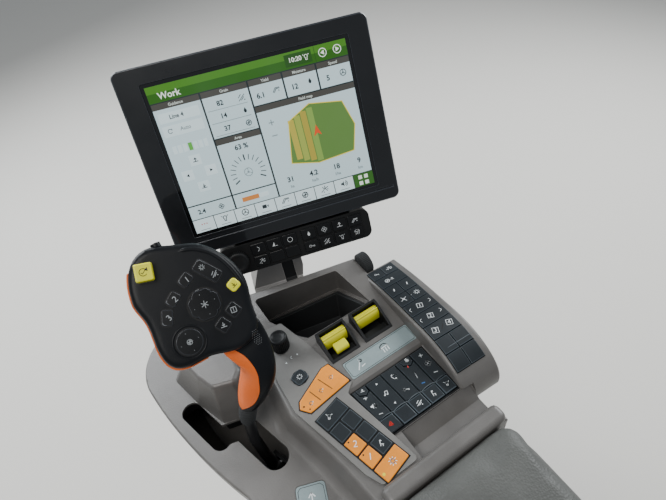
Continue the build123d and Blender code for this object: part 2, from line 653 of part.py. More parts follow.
def build_paddles():
    wells = Part()
    yellow = Part()
    rear, front = PADDLE_ROW
    for x0, x1 in PADDLES:
        left = x0 + CHEEK_T
        right = x1 - CHEEK_T
        room = block(left, right, rear + CHEEK_T, front - CHEEK_T, PANEL_Z - PADDLE_FLOOR, PANEL_Z + 20)
        step = block(left, right, rear + CHEEK_T, rear + FLAP[0][0] - 1, PANEL_Z - PADDLE_FLOOR, PANEL_Z - PADDLE_STEP)
        axle = paddle_rod(PADDLE_AXLE, PADDLE_AXLE_R, left, right)
        wells += paddle_side(CHEEK, x0, x1) - room + step + axle
        roll = paddle_side(FLAP, left + SEAT, right - SEAT)
        for ridge in FLAP_RIDGES:
            roll += paddle_rod(ridge, FLAP_RIDGE_R, left + SEAT, right - SEAT)
        if x0 == PADDLES[0][0]:
            roll += paddle_side(TAB, left + 5, right - 7)
        yellow += roll - axle
    write("paddle_housings", wells)
    write("yellow_paddles", yellow)


def build_small_parts():
    x0, x1, y0, y1 = LABEL
    write("label_strip", soft_block(x0, x1, y0, y1, PANEL_Z - PLATE_SINK, PANEL_Z, LABEL_CORNER))
    write("label_plate", deck_plate(0, 0))
    x, y, z = WHEEL_AT
    wheel = Pos(x, y, z) * Rot(0, 90, 0) * Cylinder(WHEEL_R, WHEEL_W)
    wheel = chamfer(wheel.edges().filter_by(GeomType.CIRCLE), 1)
    stub_length = x - WHEEL_W / 2 - PAD_RIGHT
    stub = Pos(PAD_RIGHT + stub_length / 2, y, z - 8) * Rot(0, 90, 0) * Cylinder(4, stub_length)
    write("thumbwheel", wheel + stub)


def build_armrest():
    lid_top = LID_Z + LID_THICK
    lid = soft_block(PAD_LEFT + LID_INSET, PAD_RIGHT - LID_INSET, PAD_REAR, PAD_FRONT - LID_INSET, LID_Z, lid_top, 14)
    lid += lift_rod(knuckle_left, knuckle_right, LIFT_R)
    lid += block(knuckle_left, knuckle_right, LIFT_Y, PAD_REAR + LIFT_R, LID_Z, lid_top)
    lid -= lift_rod(knuckle_left - 1, knuckle_right + 1, LIFT_PIN_R + SEAT)
    write("armrest_lid", lid)
    pad = soft_block(PAD_LEFT, PAD_RIGHT, PAD_REAR, PAD_FRONT, lid_top + SEAT, PAD_TOP_Z, PAD_CORNER, PAD_EDGE_R)
    write("armrest_pad", pad)


# Lever frame: the hinge pin lies across the lane under the gate
pivot = (*along(neutral, tan(radians(LEVER_LEAN)) * (DECK_Z - PIVOT_Z)), PIVOT_Z)
knee = Vector(*along(pivot, -tan(radians(LEVER_LEAN)) * (KNEE_Z - PIVOT_Z)), KNEE_Z)
collar_at = Vector(*COLLAR_AT, COLLAR_Z)
shaft_end = collar_at + (collar_at - knee).normalized() * COLLAR_GRIPS
pin_place = Pos(*pivot) * Rot(0, 0, LANE_LEAN)


def rod(start, end, radius):
    return Plane(origin=start, z_dir=end - start).location * Solid.make_cylinder(radius, (end - start).length)


# Grip sections from the foot to the face of the head: middle, tilt back from level, half width, half depth
GRIP = [(-59.3, 315, 214, 0, 10.5, 11.5), (-53, 315.5, 224, 2, 14, 15.5), (-46, 316, 236, 4, 16, 18),
        (-37.5, 318, 252, 12, 16, 20), (-34, 326, 276, 28, 19, 22), (-37, 340, 299, HEAD_TILT, 20, 22)]
# Orange insert: its middle, the way it faces, the side of the grip it fills, and its right edge from the top
INSERT_AT = (-47, 316, 240)
INSERT_FACING = (-0.026, -0.52, 0.854)
INSERT_SIDE = (-0.85, -0.42, 0.3)
INSERT_EDGE = [(-4, 40), (4.5, 26), (7.5, 13.5), (6, 0), (1, -11), (-7, -17.5), (-15, -18.5), (-26, -16)]
# Smooth outline of the head in its face, from the left round over the top to the right
HEAD = [(-47, 24), (-41, 44), (-31, 57), (-18, 62), (3, 56), (25, 46), (39, 30), (47, 10), (47, -8), (42, -26),
        (38, -44), (22, -55), (3, -53), (-12, -48), (-30, -47), (-43, -41), (-47.5, -28), (-46, -10), (-45, 6)]
HEAD_SIDE = 12         # depth of the straight side under the face
HEAD_EDGE_R = 5
HEAD_UNDER = 0.72      # share of the face's outline that the head narrows to below
# Coloured rim on the left of the head: its outline against the face's, its width, and where it runs
RIM_GROWN = 1.027
RIM_W = 5
RIM_SIDE = (-47, -20)
RIM_REACH = (66, 140)
head_plane = Plane(
    origin=HEAD_AT, x_dir=(1, 0, 0),
    z_dir=(0, -sin(radians(HEAD_TILT)), cos(radians(HEAD_TILT))))
# Black keys on the head: across, up, width, height, turn
HEAD_KEYS = [(21, 20, 11.5, 25, 33), (0.8, 21.8, 12, 9.5, 27), (-16, 11.8, 12.5, 9.5, 33), (-27.5, 0, 14, 9.5, 65),
             (24.5, -21.5, 11, 12, 25), (10.5, -29, 11, 12, 28)]
# Octagonal hat key in the middle, notched between its four ways, and the round one below it
HAT_AT = (5, -5)
HAT_R = 14.5
HAT_TURN = 15
NOTCH = 3
PAD_AT = (-21, -27.5)
PAD_R = 11.5
YELLOW_BIG = (-26, 43.5, 15.5, 16.5, -17)
YELLOW_SMALL = (35, -2, 10.5, 10.5, 22)
# Small controls on the head's sides: middle below the face, then half sizes across, up and deep
SIDE_BUTTON = (-7, 58, -7)
SIDE_BUTTON_R = 4.5
SIDE_BUTTON_L = 10


def on_head(x, y, z):
    return head_plane.location * Pos(x, y, z)


def build_lever():
    upper = rod(knee, shaft_end, SHAFT_R)
    shaft = rod(Vector(*pivot), knee, SHAFT_R) + Pos(*knee) * Sphere(SHAFT_R) + upper
    shaft += pin_place * Rot(0, 90, 0) * Cylinder(HUB_R, HUB_W)
    shaft -= pin_place * Rot(0, 90, 0) * Cylinder(PIVOT_PIN_R + SEAT, 2 * HUB_W)
    write("lever_shaft", shaft)
    # Ribbed rubber collar, bent from the top of the shaft over to the foot of the grip
    foot_x, foot_y, foot_z, _, half_x, half_y = GRIP[0]
    waist = (collar_at + Vector(foot_x, foot_y, foot_z)) / 2 + Vector(COLLAR_BOW, 0, 0)
    collar = loft([
        Pos(*collar_at) * Circle(SHAFT_R + COLLAR_WALL), Pos(*waist) * Circle(SHAFT_R + 2 * COLLAR_WALL),
        Pos(foot_x, foot_y, foot_z) * Ellipse(half_x - COLLAR_INSET, half_y - COLLAR_INSET)])
    write("lever_collar", collar - upper)
    sections = []
    for x, y, z, tilt, half_x, half_y in GRIP:
        level = Plane(origin=(x, y, z), x_dir=(1, 0, 0), z_dir=(0, -sin(radians(tilt)), cos(radians(tilt))))
        sections.append(level.location * Ellipse(half_x, half_y))
    grip = loft(sections)
    face = face_of(Spline(*HEAD, periodic=True))
    under = Pos(2, -2, -HEAD_THICK) * scale(face, by=HEAD_UNDER)
    cap = extrude(face, HEAD_SIDE, dir=(0, 0, -1))
    cap = fillet(cap.faces().sort_by(Axis.Z)[-1].edges(), HEAD_EDGE_R)
    head = head_plane.location * (cap + loft([Pos(0, 0, -HEAD_SIDE) * face, under]))
    shell = head + grip
    # Drop-shaped insert on the grip's left side, as deep as the grip's own middle
    drop = face_of(Spline(*INSERT_EDGE), Polyline(INSERT_EDGE[-1], (-60, -20), (-60, 40), INSERT_EDGE[0]))
    insert_plane = Plane(origin=INSERT_AT, x_dir=(1, -0.014, 0.023), z_dir=INSERT_FACING)
    drop = insert_plane.location * (Pos(0, 0, -40) * extrude(drop, 80, dir=(0, 0, 1)))
    near_side = Plane(origin=INSERT_AT, z_dir=INSERT_SIDE).location * Pos(0, 0, 40) * Box(160, 160, 80)
    insert = (grip - head) & drop & near_side
    write("grip_insert", insert)
    band = extrude(scale(face, by=RIM_GROWN), RIM_W, dir=(0, 0, 1)) - extrude(face, RIM_W, dir=(0, 0, 1))
    band = band & Pos(*RIM_SIDE, RIM_W / 2) * Box(*RIM_REACH, RIM_W)
    write("head_rim", on_head(0, 0, -HEAD_SIDE) * band)
    shell -= insert
    write("grip_shell", shell)
    keys = Part()
    for x, y, width, height, turn in HEAD_KEYS:
        keys += on_head(x, y, 0) * Rot(0, 0, turn) * extrude(RectangleRounded(width, height, 2), 1.8)
    hat = extrude(RegularPolygon(HAT_R, 8), 3)
    for turn in range(0, 360, 90):
        hat -= Rot(0, 0, turn + 22.5) * Pos(HAT_R, 0, 0) * Rot(0, 0, 45) * Box(NOTCH, NOTCH, 20)
    keys += on_head(*HAT_AT, 0) * Rot(0, 0, HAT_TURN) * hat
    keys += on_head(*PAD_AT, 0) * extrude(Circle(PAD_R), 2.2)
    write("head_keys", keys)
    x, y, width, height, turn = YELLOW_BIG
    big = on_head(x, y, 0) * Rot(0, 0, turn) * extrude(RectangleRounded(width, height, 2), 10, taper=4)
    x, y, width, height, turn = YELLOW_SMALL
    small = on_head(x, y, 0) * Rot(0, 0, turn) * extrude(RectangleRounded(width, height, 3), 2.5)
    write("head_yellow_buttons", big + small)
    button = on_head(*SIDE_BUTTON) * Rot(-90, 0, 0) * Cylinder(SIDE_BUTTON_R, SIDE_BUTTON_L)
    write("head_side_keys", button - shell)


def build_gate():
    # Cradle with two cheeks, fixed to the floor, and the pin through the lever's hub
    floor = FLOOR_Z + WALL
    length, width = CRADLE_SIZE
    drop = PIVOT_Z - floor
    cradle = pin_place * Pos(0, 0, CRADLE_T / 2 - drop) * Box(length, width, CRADLE_T)
    rise = drop + HUB_R
    for side in (-1, 1):
        out = side * (HUB_W / 2 + CHEEK_GAP + CRADLE_T / 2)
        cradle += pin_place * Pos(out, 0, rise / 2 - drop) * Box(CRADLE_T, 2 * HUB_R, rise)
    cradle -= pin_place * Rot(0, 90, 0) * Cylinder(PIVOT_PIN_R, 2 * length)
    write("lever_cradle", cradle)
    write("lever_pin", pin_place * Rot(0, 90, 0) * Cylinder(PIVOT_PIN_R, length))
    top = DECK_Z - WALL
    outer = gate(top - WELL_DEPTH, top, WELL_GAP + WELL_WALL)
    inner = gate(top - WELL_DEPTH, top, WELL_GAP)
    write("lever_well", outer - inner)


def build_display():
    frame = on_display(0, 0, -FRAME_THICK) * extrude(RectangleRounded(FRAME_W, FRAME_H, FRAME_CORNER), FRAME_THICK)
    glass_plan = RectangleRounded(SCREEN_W + 8, SCREEN_H + 8, 2)
    frame = chamfer(frame.faces().sort_by(Axis(DISPLAY_AT, screen_out))[-1].edges(), 1.2)
    frame -= on_display(0, 2, -2) * extrude(glass_plan, 3)
    frame -= on_display(0, -LEDGE_DOWN, 0) * Box(FRAME_W - 12, 2.5, 3)
    write("display_glass", on_display(0, 2, -2) * extrude(glass_plan, 1.4))
    write("display_frame", frame)
    near = on_display(0, 0, -FRAME_THICK) * RectangleRounded(BACK_W, BACK_H, 12)
    far = on_display(0, 0, -FRAME_THICK - BACK_THICK) * RectangleRounded(BACK_W - 30, BACK_H - 30, 12)
    back = loft([near, far])
    write("display_back", back)
    bar_y = -FRAME_H / 2 - BAR_GAP - BAR_H / 2
    face = -BAR_SINK
    bar = on_display(0, bar_y, face - BAR_THICK) * key_cap(RectangleRounded(BAR_W, BAR_H, 9), BAR_THICK)
    bridge = on_display(0, -FRAME_H / 2, -FRAME_THICK - 4) * Box(BAR_W - 40, 24, 8)
    keys = Part()
    for left, columns in BAR_GROUPS:
        for i in range(columns):
            for row in range(2):
                x = left + (i + 0.5) * BAR_PITCH
                y = bar_y + (0.5 - row) * BAR_ROW
                well = RectangleRounded(BAR_PITCH - KEY_GAP, BAR_ROW - KEY_GAP, 2)
                bar -= on_display(x, y, face - 2) * extrude(well, 3)
                keys += on_display(x, y, face - 2) * key_cap(offset(well, -SEAT), 3)
    write("key_bar", bar + bridge)
    write("key_bar_keys", keys)
    write("key_bar_dial", on_display(DIAL_IN - BAR_W / 2, bar_y, face) * extrude(Circle(DIAL_R), DIAL_H))
    knuckle = on_display(*HINGE_AT) * Rot(0, 90, 0) * Cylinder(HINGE_R, KNUCKLE_W)
    web_depth = -HINGE_AT[2] - FRAME_THICK - BACK_THICK
    web = on_display(HINGE_AT[0], HINGE_AT[1], HINGE_AT[2] + web_depth / 2) * Box(KNUCKLE_W, 2 * HINGE_R, web_depth)
    bore = on_display(*HINGE_AT) * Rot(0, 90, 0) * Cylinder(HINGE_PIN_R + SEAT, 80)
    write("tilt_knuckle", knuckle + web - bore)


# Key bar under the display: left edge and columns of each key group
BAR_GROUPS = [(-55, 3), (6, 4)]
BAR_PITCH = 19
BAR_ROW = 15.5
DIAL_IN = 19            # dial's middle, in from the bar's left end
DIAL_R = 12.5
DIAL_H = 9


def build_neck():
    hinge = on_display(*HINGE_AT).position
    turn = Rot(0, 0, DISPLAY_YAW)
    # Level frame at the foot, x along the display and y forward
    foot = Pos(*NECK_FOOT, 0) * turn
    local = foot.inverse() * Pos(hinge)
    x, y, z = local.position
    side = [(-NECK_T / 2, NECK_FOOT_Z), (-NECK_T / 2, PANEL_Z - 6), (0, PANEL_Z), (y - HINGE_R - 3, z - 2 * HINGE_R),
            (y, z - HINGE_R), (y + HINGE_R, z), (y + HINGE_R, z - HINGE_R), (NECK_T, PANEL_Z - 6),
            (NECK_T, NECK_FOOT_Z)]
    half = NECK_W / 2
    front = [(-half - NECK_FLARE, NECK_FOOT_Z), (-half - NECK_FLARE, PANEL_Z), (-half, PANEL_Z + 2 * NECK_FLARE),
             (-half, z), (half, z), (half, PANEL_Z + NECK_FLARE), (half - 5, PANEL_Z - 5), (half - 5, NECK_FOOT_Z)]
    wide = NECK_W + 4 * NECK_FLARE
    upright = Plane(origin=(x - wide / 2, 0, 0), x_dir=(0, 1, 0), z_dir=(1, 0, 0))
    neck = extrude(upright * make_face(Polyline(*side, close=True)), wide, dir=(1, 0, 0))
    facing = Plane(origin=(x, -4 * NECK_T, 0), x_dir=(1, 0, 0), z_dir=(0, -1, 0))
    neck = foot * (neck & extrude(facing * make_face(Polyline(*front, close=True)), 10 * NECK_T, dir=(0, 1, 0)))
    neck += foot * Pos(x, y, z) * Rot(0, 90, 0) * Cylinder(HINGE_R, NECK_W)
    neck -= foot * Pos(x, y, z) * Box(KNUCKLE_W + 1, 2 * HINGE_R + 14, 2 * HINGE_R + 14)
    pin_bore = foot * Pos(x, y, z) * Rot(0, 90, 0) * Cylinder(HINGE_PIN_R, NECK_W + 4)
    neck = neck - pin_bore - prism(deck_outline(), 0, PANEL_Z) - prism(panel_outline(), 0, PANEL_Z)
    # Dark strip let into the near face, which hides the display's lead
    inside = extrude(upright * make_face(Polyline(*side, close=True)), wide, dir=(1, 0, 0))
    depth = inside - Pos(0, NECK_STRIP_DEEP, 0) * inside
    left = x + NECK_STRIP_X
    channel = block(left, left + NECK_STRIP_W, -2 * NECK_T, 4 * NECK_T, PANEL_Z - 10, z - 2 * HINGE_R - 4)
    covered = prism(deck_outline(), 0, PANEL_Z) + prism(panel_outline(), 0, PANEL_Z)
    write("neck_strip", foot * (channel & depth & Pos(0, NECK_STRIP_BACK, 0) * inside) - covered)
    neck -= foot * (channel & depth)
    write("display_neck", neck)
    write("tilt_pin", foot * Pos(x, y, z) * Rot(0, 90, 0) * Cylinder(HINGE_PIN_R, NECK_W))


build = [build_bracket, build_beam, build_lower_housing, build_top_cover, build_arch, build_strip,
         build_keyboard, build_bin, build_paddles, build_small_parts, build_armrest, build_gate, build_lever,
         build_display, build_neck]
os.makedirs("parts", exist_ok=True)
for step in build:
    step()
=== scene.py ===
import bmesh, bpy, json, math
from mathutils import Matrix, Vector
from mathutils.bvhtree import BVHTree


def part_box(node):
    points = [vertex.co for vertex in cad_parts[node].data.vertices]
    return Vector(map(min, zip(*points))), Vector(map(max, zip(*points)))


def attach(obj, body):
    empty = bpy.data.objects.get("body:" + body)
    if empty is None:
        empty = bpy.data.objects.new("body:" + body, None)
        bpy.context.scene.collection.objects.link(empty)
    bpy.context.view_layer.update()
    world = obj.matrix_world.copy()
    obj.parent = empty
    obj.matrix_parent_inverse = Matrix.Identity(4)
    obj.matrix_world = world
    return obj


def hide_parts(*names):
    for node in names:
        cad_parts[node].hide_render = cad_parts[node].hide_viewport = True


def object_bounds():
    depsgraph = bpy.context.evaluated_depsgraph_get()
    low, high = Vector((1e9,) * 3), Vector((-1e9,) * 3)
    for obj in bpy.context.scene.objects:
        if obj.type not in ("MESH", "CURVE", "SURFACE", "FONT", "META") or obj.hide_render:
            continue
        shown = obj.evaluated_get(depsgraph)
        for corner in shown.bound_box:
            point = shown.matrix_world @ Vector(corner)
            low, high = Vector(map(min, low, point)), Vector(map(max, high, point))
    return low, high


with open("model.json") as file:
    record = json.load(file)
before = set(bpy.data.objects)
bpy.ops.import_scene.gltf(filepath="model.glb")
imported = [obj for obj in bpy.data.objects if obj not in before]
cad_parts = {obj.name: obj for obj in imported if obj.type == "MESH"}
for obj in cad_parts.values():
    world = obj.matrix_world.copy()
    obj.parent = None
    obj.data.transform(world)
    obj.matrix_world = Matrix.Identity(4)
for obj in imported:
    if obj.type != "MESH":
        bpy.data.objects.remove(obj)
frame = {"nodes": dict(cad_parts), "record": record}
cad_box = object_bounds()


# The view from the operator's seat, down on the console and the display. The camera is a plain
# wide one, its three axes written out, and nothing in the scene depends on it.
def set_out(name, data):
    # An object with its data, put in the scene
    item = bpy.data.objects.new(name, data)
    bpy.context.scene.collection.objects.link(item)
    return item


def tuned(thing, **settings):
    # The thing with some of its settings changed
    for key, value in settings.items():
        setattr(thing, key, value)
    return thing


def axes_at(place, right, up, out):
    # A place in metres with its own three axes
    return Matrix.Translation(place) @ Matrix((right, up, out)).transposed().to_4x4()


EYE = Vector((-0.060, 0.060, 0.660))
EYE_RIGHT = Vector((0.8345, -0.5383, -0.1172)).normalized()
EYE_RISE = Vector((0.4655, 0.5751, 0.6727))
EYE_BACK = EYE_RIGHT.cross(EYE_RISE).normalized()
camera = set_out("camera", bpy.data.cameras.new("camera"))
camera.matrix_world = axes_at(EYE, EYE_RIGHT, EYE_BACK.cross(EYE_RIGHT), EYE_BACK)
tuned(camera.data, sensor_width=36, lens=25.95, clip_start=0.01)
bpy.context.scene.camera = camera


# Pale floor and soft daylight. The console hangs on the side of a seat, so the floor lies at a
# cab floor's depth below its bolts, and the light comes from large windows ahead and above.
def mesh_of(name, polygons):
    # A mesh of polygons that share no points
    points = [point for polygon in polygons for point in polygon]
    places = iter(range(len(points)))
    mesh = bpy.data.meshes.new(name)
    mesh.from_pydata(points, [], [[next(places) for point in polygon] for polygon in polygons])
    return mesh


FLOOR_HALF = 6
FLOOR_Z = cad_box[0][2] - 0.28
SQUARE = [(-1, -1), (1, -1), (1, 1), (-1, 1)]
floor = set_out("floor", mesh_of("floor", [[(x * FLOOR_HALF, y * FLOOR_HALF, FLOOR_Z) for x, y in SQUARE]]))
floor_paint = bpy.data.materials.new("floor_paint")
floor_paint.use_nodes = True
floor_shader = floor_paint.node_tree.nodes["Principled BSDF"]
floor_shader.inputs["Base Color"].default_value = (0.62, 0.60, 0.56, 1)
floor_shader.inputs["Roughness"].default_value = 0.85
floor.data.materials.append(floor_paint)

sky = bpy.data.worlds.new("sky")
sky.use_nodes = True
sky.node_tree.nodes["Background"].inputs["Color"].default_value = (0.86, 0.93, 1.0, 1)
sky.node_tree.nodes["Background"].inputs["Strength"].default_value = 0.40
bpy.context.scene.world = sky
# Lights: name, place, aimed at, width, power, colour
LIGHTS = [
    ("front_window", (-0.5, 1.9, 1.3), (0.0, 0.35, 0.15), 1.5, 60, (0.93, 0.97, 1.0)),
    ("side_window", (1.7, 0.7, 1.1), (0.1, 0.3, 0.15), 1.2, 40, (0.95, 0.98, 1.0)),
    ("roof", (-0.7, -0.3, 1.9), (0.0, 0.3, 0.2), 1.0, 24, (1.0, 0.97, 0.93)),
]
for name, at, aim, width, power, colour in LIGHTS:
    lamp = set_out(name, bpy.data.lights.new(name, "AREA"))
    lamp.location = at
    lamp.rotation_euler = (Vector(aim) - Vector(at)).to_track_quat("-Z", "Y").to_euler()
    tuned(lamp.data, size=width, energy=power, color=colour)


# Housing: a tub, a top cover with the lever deck and key panel, and the neck for the display, all
# injection-moulded in taupe ABS with a fine leather grain, clipped together along the seam line.
class Wire:
    # One output of a shader tree. Sums, differences and products add Math nodes.
    def __init__(self, paint, socket):
        self.paint = paint
        self.socket = socket

    def maths(self, operation, *terms, clamp=False):
        settings = {"operation": operation, "use_clamp": clamp}
        return self.paint.node("ShaderNodeMath", settings, dict(enumerate(terms)))

    def __add__(self, other):
        return self.maths("ADD", self, other)

    def __mul__(self, other):
        return self.maths("MULTIPLY", self, other)

    def __sub__(self, other):
        return self.maths("SUBTRACT", self, other)

    def __rsub__(self, other):
        return self.maths("SUBTRACT", other, self)

    def clipped(self):
        return self.maths("ADD", self, 0, clamp=True)

    __radd__ = __add__
    __rmul__ = __mul__


class Paint:
    # The shader of one finish, with what stays the same all over it set on its own sockets
    def __init__(self, name, **fixed):
        self.material = bpy.data.materials.new(name)
        self.material.use_nodes = True
        self.tree = self.material.node_tree
        self.shader = self.tree.nodes["Principled BSDF"]
        self.shader.inputs["Specular IOR Level"].default_value = 0.3
        for socket, value in fixed.items():
            self.shader.inputs[socket.replace("_", " ")].default_value = value

    def node(self, kind, settings, sockets, output=0):
        node = tuned(self.tree.nodes.new(kind), **settings)
        for key, value in sockets.items():
            if isinstance(value, Wire):
                self.tree.links.new(value.socket, node.inputs[key])
            else:
                node.inputs[key].default_value = value
        return Wire(self, node.outputs[output])

    def place(self):
        return self.node("ShaderNodeTexCoord", {}, {}, "Object")

    def noise(self, scale, detail):
        sockets = {"Vector": self.place(), "Scale": scale, "Detail": detail}
        return self.node("ShaderNodeTexNoise", {}, sockets)

    def blend(self, share, colour_a, colour_b):
        a = colour_a if isinstance(colour_a, Wire) else (*colour_a, 1)
        b = colour_b if isinstance(colour_b, Wire) else (*colour_b, 1)
        mix = {"data_type": "RGBA", "clamp_factor": True}
        return self.node("ShaderNodeMix", mix, {0: share, 6: a, 7: b}, 2)

    def give(self, socket, wire):
        self.tree.links.new(wire.socket, self.shader.inputs[socket])

    def bump(self, height, depth):
        self.give("Normal", self.node("ShaderNodeBump", {}, {"Height": height, "Distance": depth}))


def shade(colour, factor):
    return tuple(c * factor for c in colour)


def grained(name, colour, roughness, grain=0.0011, depth=0.00009, edge_wear_and_highlight=0.35, edge_wear_and_highlight_tone=1.9, **fixed):
    # Moulded plastic: pebbled grain, faint clouds of handling shine, and rounded edges painted paler, partly
    # rubbed wear and partly painted highlight
    paint = Paint(name, **fixed)
    pebbles = paint.node("ShaderNodeTexVoronoi", {}, {"Vector": paint.place(), "Scale": 1 / grain})
    cloud = paint.noise(28, 6)
    speck = paint.noise(420, 2)
    ridge = paint.node("ShaderNodeAttribute", {"attribute_name": "edge"}, {}, "Fac")
    tone = paint.blend((cloud - 0.35) * 2.2, shade(colour, 0.86), shade(colour, 1.12))
    tone = paint.blend((speck - 0.55) * 1.2, tone, shade(colour, 0.7))
    # Painted highlight, partly real wear: the rounded edges are blended towards a paler tone
    tone = paint.blend(ridge * edge_wear_and_highlight, tone, shade(colour, edge_wear_and_highlight_tone))
    paint.give("Base Color", tone)
    paint.give("Roughness", (roughness + (cloud - 0.5) * 0.25 - ridge * 0.12).clipped())
    paint.bump(pebbles + speck * 0.4, depth)
    return paint.material


def dressed(piece, body, slot, material):
    # The piece gets its finish and the body that it rides on. The slot is not used.
    piece.data.materials.clear()
    piece.data.materials.append(material)
    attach(piece, body)
    return piece


def add_piece(name, mesh, body, slot, material):
    return dressed(set_out(name, mesh), body, slot, material)


def worked_mesh(item):
    # A mesh of the object as its curve or its modifiers make it
    return bpy.data.meshes.new_from_object(item.evaluated_get(bpy.context.evaluated_depsgraph_get()))


def smoothed(mesh, sharp=None):
    # Smooth shading all over, or up to edges of so many degrees
    mesh.polygons.foreach_set("use_smooth", [True] * len(mesh.polygons))
    if sharp:
        mesh.set_sharp_from_angle(angle=math.radians(sharp))
    return mesh


def beaded(name, points, radius, closed, body, slot, material):
    # A round bead along a line of points in metres, thinning out at its ends if the line is open
    curve = tuned(bpy.data.curves.new(name, "CURVE"), dimensions="3D", bevel_depth=radius, bevel_resolution=4)
    line = curve.splines.new("POLY")
    line.points.add(len(points) - 1)
    line.use_cyclic_u = closed
    for i, (point, at) in enumerate(zip(line.points, points)):
        point.co = (*at, 1)
        if not closed:
            point.radius = min(1.0, 0.15 + 5 * min(i, len(points) - 1 - i) / len(points))
    carrier = set_out(name, curve)
    mesh = smoothed(worked_mesh(carrier))
    bpy.data.objects.remove(carrier)
    return add_piece(name, mesh, body, slot, material)


def modified(piece, kind, **settings):
    # The piece with one modifier more
    tuned(piece.modifiers.new(kind.lower(), kind), **settings)
    return piece


def applied(piece):
    # The piece with its modifiers worked into its mesh
    made = worked_mesh(piece)
    piece.modifiers.clear()
    piece.data = made
    return piece


def welded(*nodes):
    # One shape over the meshes of some nodes, with the points that lie on each other joined
    shape = bmesh.new()
    for node in nodes:
        shape.from_mesh(frame["nodes"][node].data)
    bmesh.ops.remove_doubles(shape, verts=shape.verts, dist=0.00001)
    return shape


def meshed(name, shape):
    # A mesh made from the shape, which is used up
    mesh = bpy.data.meshes.new(name)
    shape.to_mesh(mesh)
    shape.free()
    return mesh


def cad_mesh(node):
    # A copy of a node's mesh, its flat faces whole again
    shape = welded(node)
    bmesh.ops.dissolve_limit(shape, angle_limit=math.radians(0.6), verts=shape.verts, edges=shape.edges)
    return meshed(node, shape)


SLOT_OF = {part["node"]: part["material_slot"] for part in frame["record"]["subparts"]}
BODY_OF = {node: body for body, members in frame["record"]["behaviour"]["bodies"].items() for node in members}


def moulded(node, material, edge, steps=2):
    # A node as it comes from its mould, every sharp edge rounded. The rounded strips are marked,
    # because there the finish is painted paler, partly as rubbed wear and partly as painted highlight.
    piece = add_piece(node + "_moulded", cad_mesh(node), BODY_OF[node], SLOT_OF[node], material)
    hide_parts(node)
    piece.data.materials.append(material)
    applied(modified(piece, "BEVEL", width=edge, segments=steps, limit_method="ANGLE",
                     angle_limit=math.radians(28), use_clamp_overlap=True, material=1))
    rounded = piece.data.attributes.new("edge", "FLOAT", "CORNER")
    for face in piece.data.polygons:
        for corner in face.loop_indices:
            rounded.data[corner].value = float(face.material_index)
        face.material_index = 0
    piece.data.materials.pop()
    smoothed(piece.data, 32)
    return applied(modified(piece, "WEIGHTED_NORMAL", keep_sharp=True))


TAUPE = (0.112, 0.106, 0.100)
# The taupe's rounded edges are painted 2.5 times paler, partly rubbed wear and partly painted highlight
taupe = grained("taupe_abs", TAUPE, 0.38, edge_wear_and_highlight=0.7, edge_wear_and_highlight_tone=2.5, Specular_IOR_Level=0.55)
# Painted light: the neck's taupe is painted 1.7 times lighter, a lit copy of the housing's taupe standing in
# for the window light that falls on it
neck_painted_lit_taupe = grained("neck_painted_lit_taupe", shade(TAUPE, 1.7), 0.36, edge_wear_and_highlight=0.7, edge_wear_and_highlight_tone=2.0, Specular_IOR_Level=0.55)
moulded("top_cover", taupe, 0.0012)
moulded("lower_housing", taupe, 0.0012)
moulded("display_neck", neck_painted_lit_taupe, 0.0015)


# Seat bracket: a flanged and gusseted steel weldment, bolted to the seat frame, painted satin black.
# The armrest's hollow beam is moulded in the housing's ABS and sits on the bracket's flange.
painted_steel = grained("painted_steel", (0.016, 0.016, 0.017), 0.38, 0.0022, 0.00004, 0.8)
pin_zinc = grained("pin_zinc", (0.5, 0.5, 0.52), 0.34, 0.0005, 0.00001, 0.2, Metallic=1.0)
moulded("seat_bracket", painted_steel, 0.0010)
moulded("armrest_beam", taupe, 0.0015)
moulded("armrest_pin", pin_zinc, 0.0004)


# Storage bin: the cover's own taupe liner with a sloping ledge, and under it a loose cup of black
# rubber with a fine matt grain.
rubber = grained("rubber", (0.024, 0.0255, 0.0265), 0.72, 0.0007, 0.00008, 0.5)
moulded("bin_liner", taupe, 0.0012)
moulded("bin_insert", rubber, 0.0008)


# Paddle switches: two yellow barrel flaps in black housings with tall cheeks, the flaps glossy
# from use, with three grip ridges each, and a small tab in front of one of them.
black_abs = grained("black_abs", (0.0075, 0.0078, 0.0085), 0.48, 0.0008, 0.00007, 0.9)
paddle_yellow = grained("paddle_yellow", (0.76, 0.73, 0.03), 0.36, 0.0009, 0.00002, 0.1, Coat_Weight=0.25)
moulded("paddle_housings", black_abs, 0.0007)
MM = 0.001


def prism(near, far):
    # A closed shape between two outlines of the same number of points
    shape = bmesh.new()
    ends = [[shape.verts.new(point) for point in outline] for outline in (near, far)]
    shape.faces.new(ends[0])
    shape.faces.new(list(reversed(ends[1])))
    for i in range(len(near)):
        j = (i + 1) % len(near)
        shape.faces.new((ends[0][j], ends[0][i], ends[1][i], ends[1][j]))
    bmesh.ops.recalc_face_normals(shape, faces=shape.faces)
    return shape


# Side views of a flap, a low barrel with its ridges on top, and of the tab, from the row and the panel
PANEL_Z = 180
PADDLE_Y = 318
FLAP = [(21, -3), (21, 6), (21.8, 9.6), (22.8, 11.2), (23.8, 11.6), (24.2, 13.6), (25.4, 13.9), (26, 12.2),
        (26.9, 12.0), (27.3, 13.6), (28.6, 13.3), (29.0, 11.5), (29.9, 11), (30.3, 12.2), (31.3, 11.2),
        (31.7, 8.2), (31.9, 4), (31.9, -3)]
TAB = [(8, -2), (8, 2.0), (9.5, 4.2), (18.6, 6.5), (18.6, -2)]


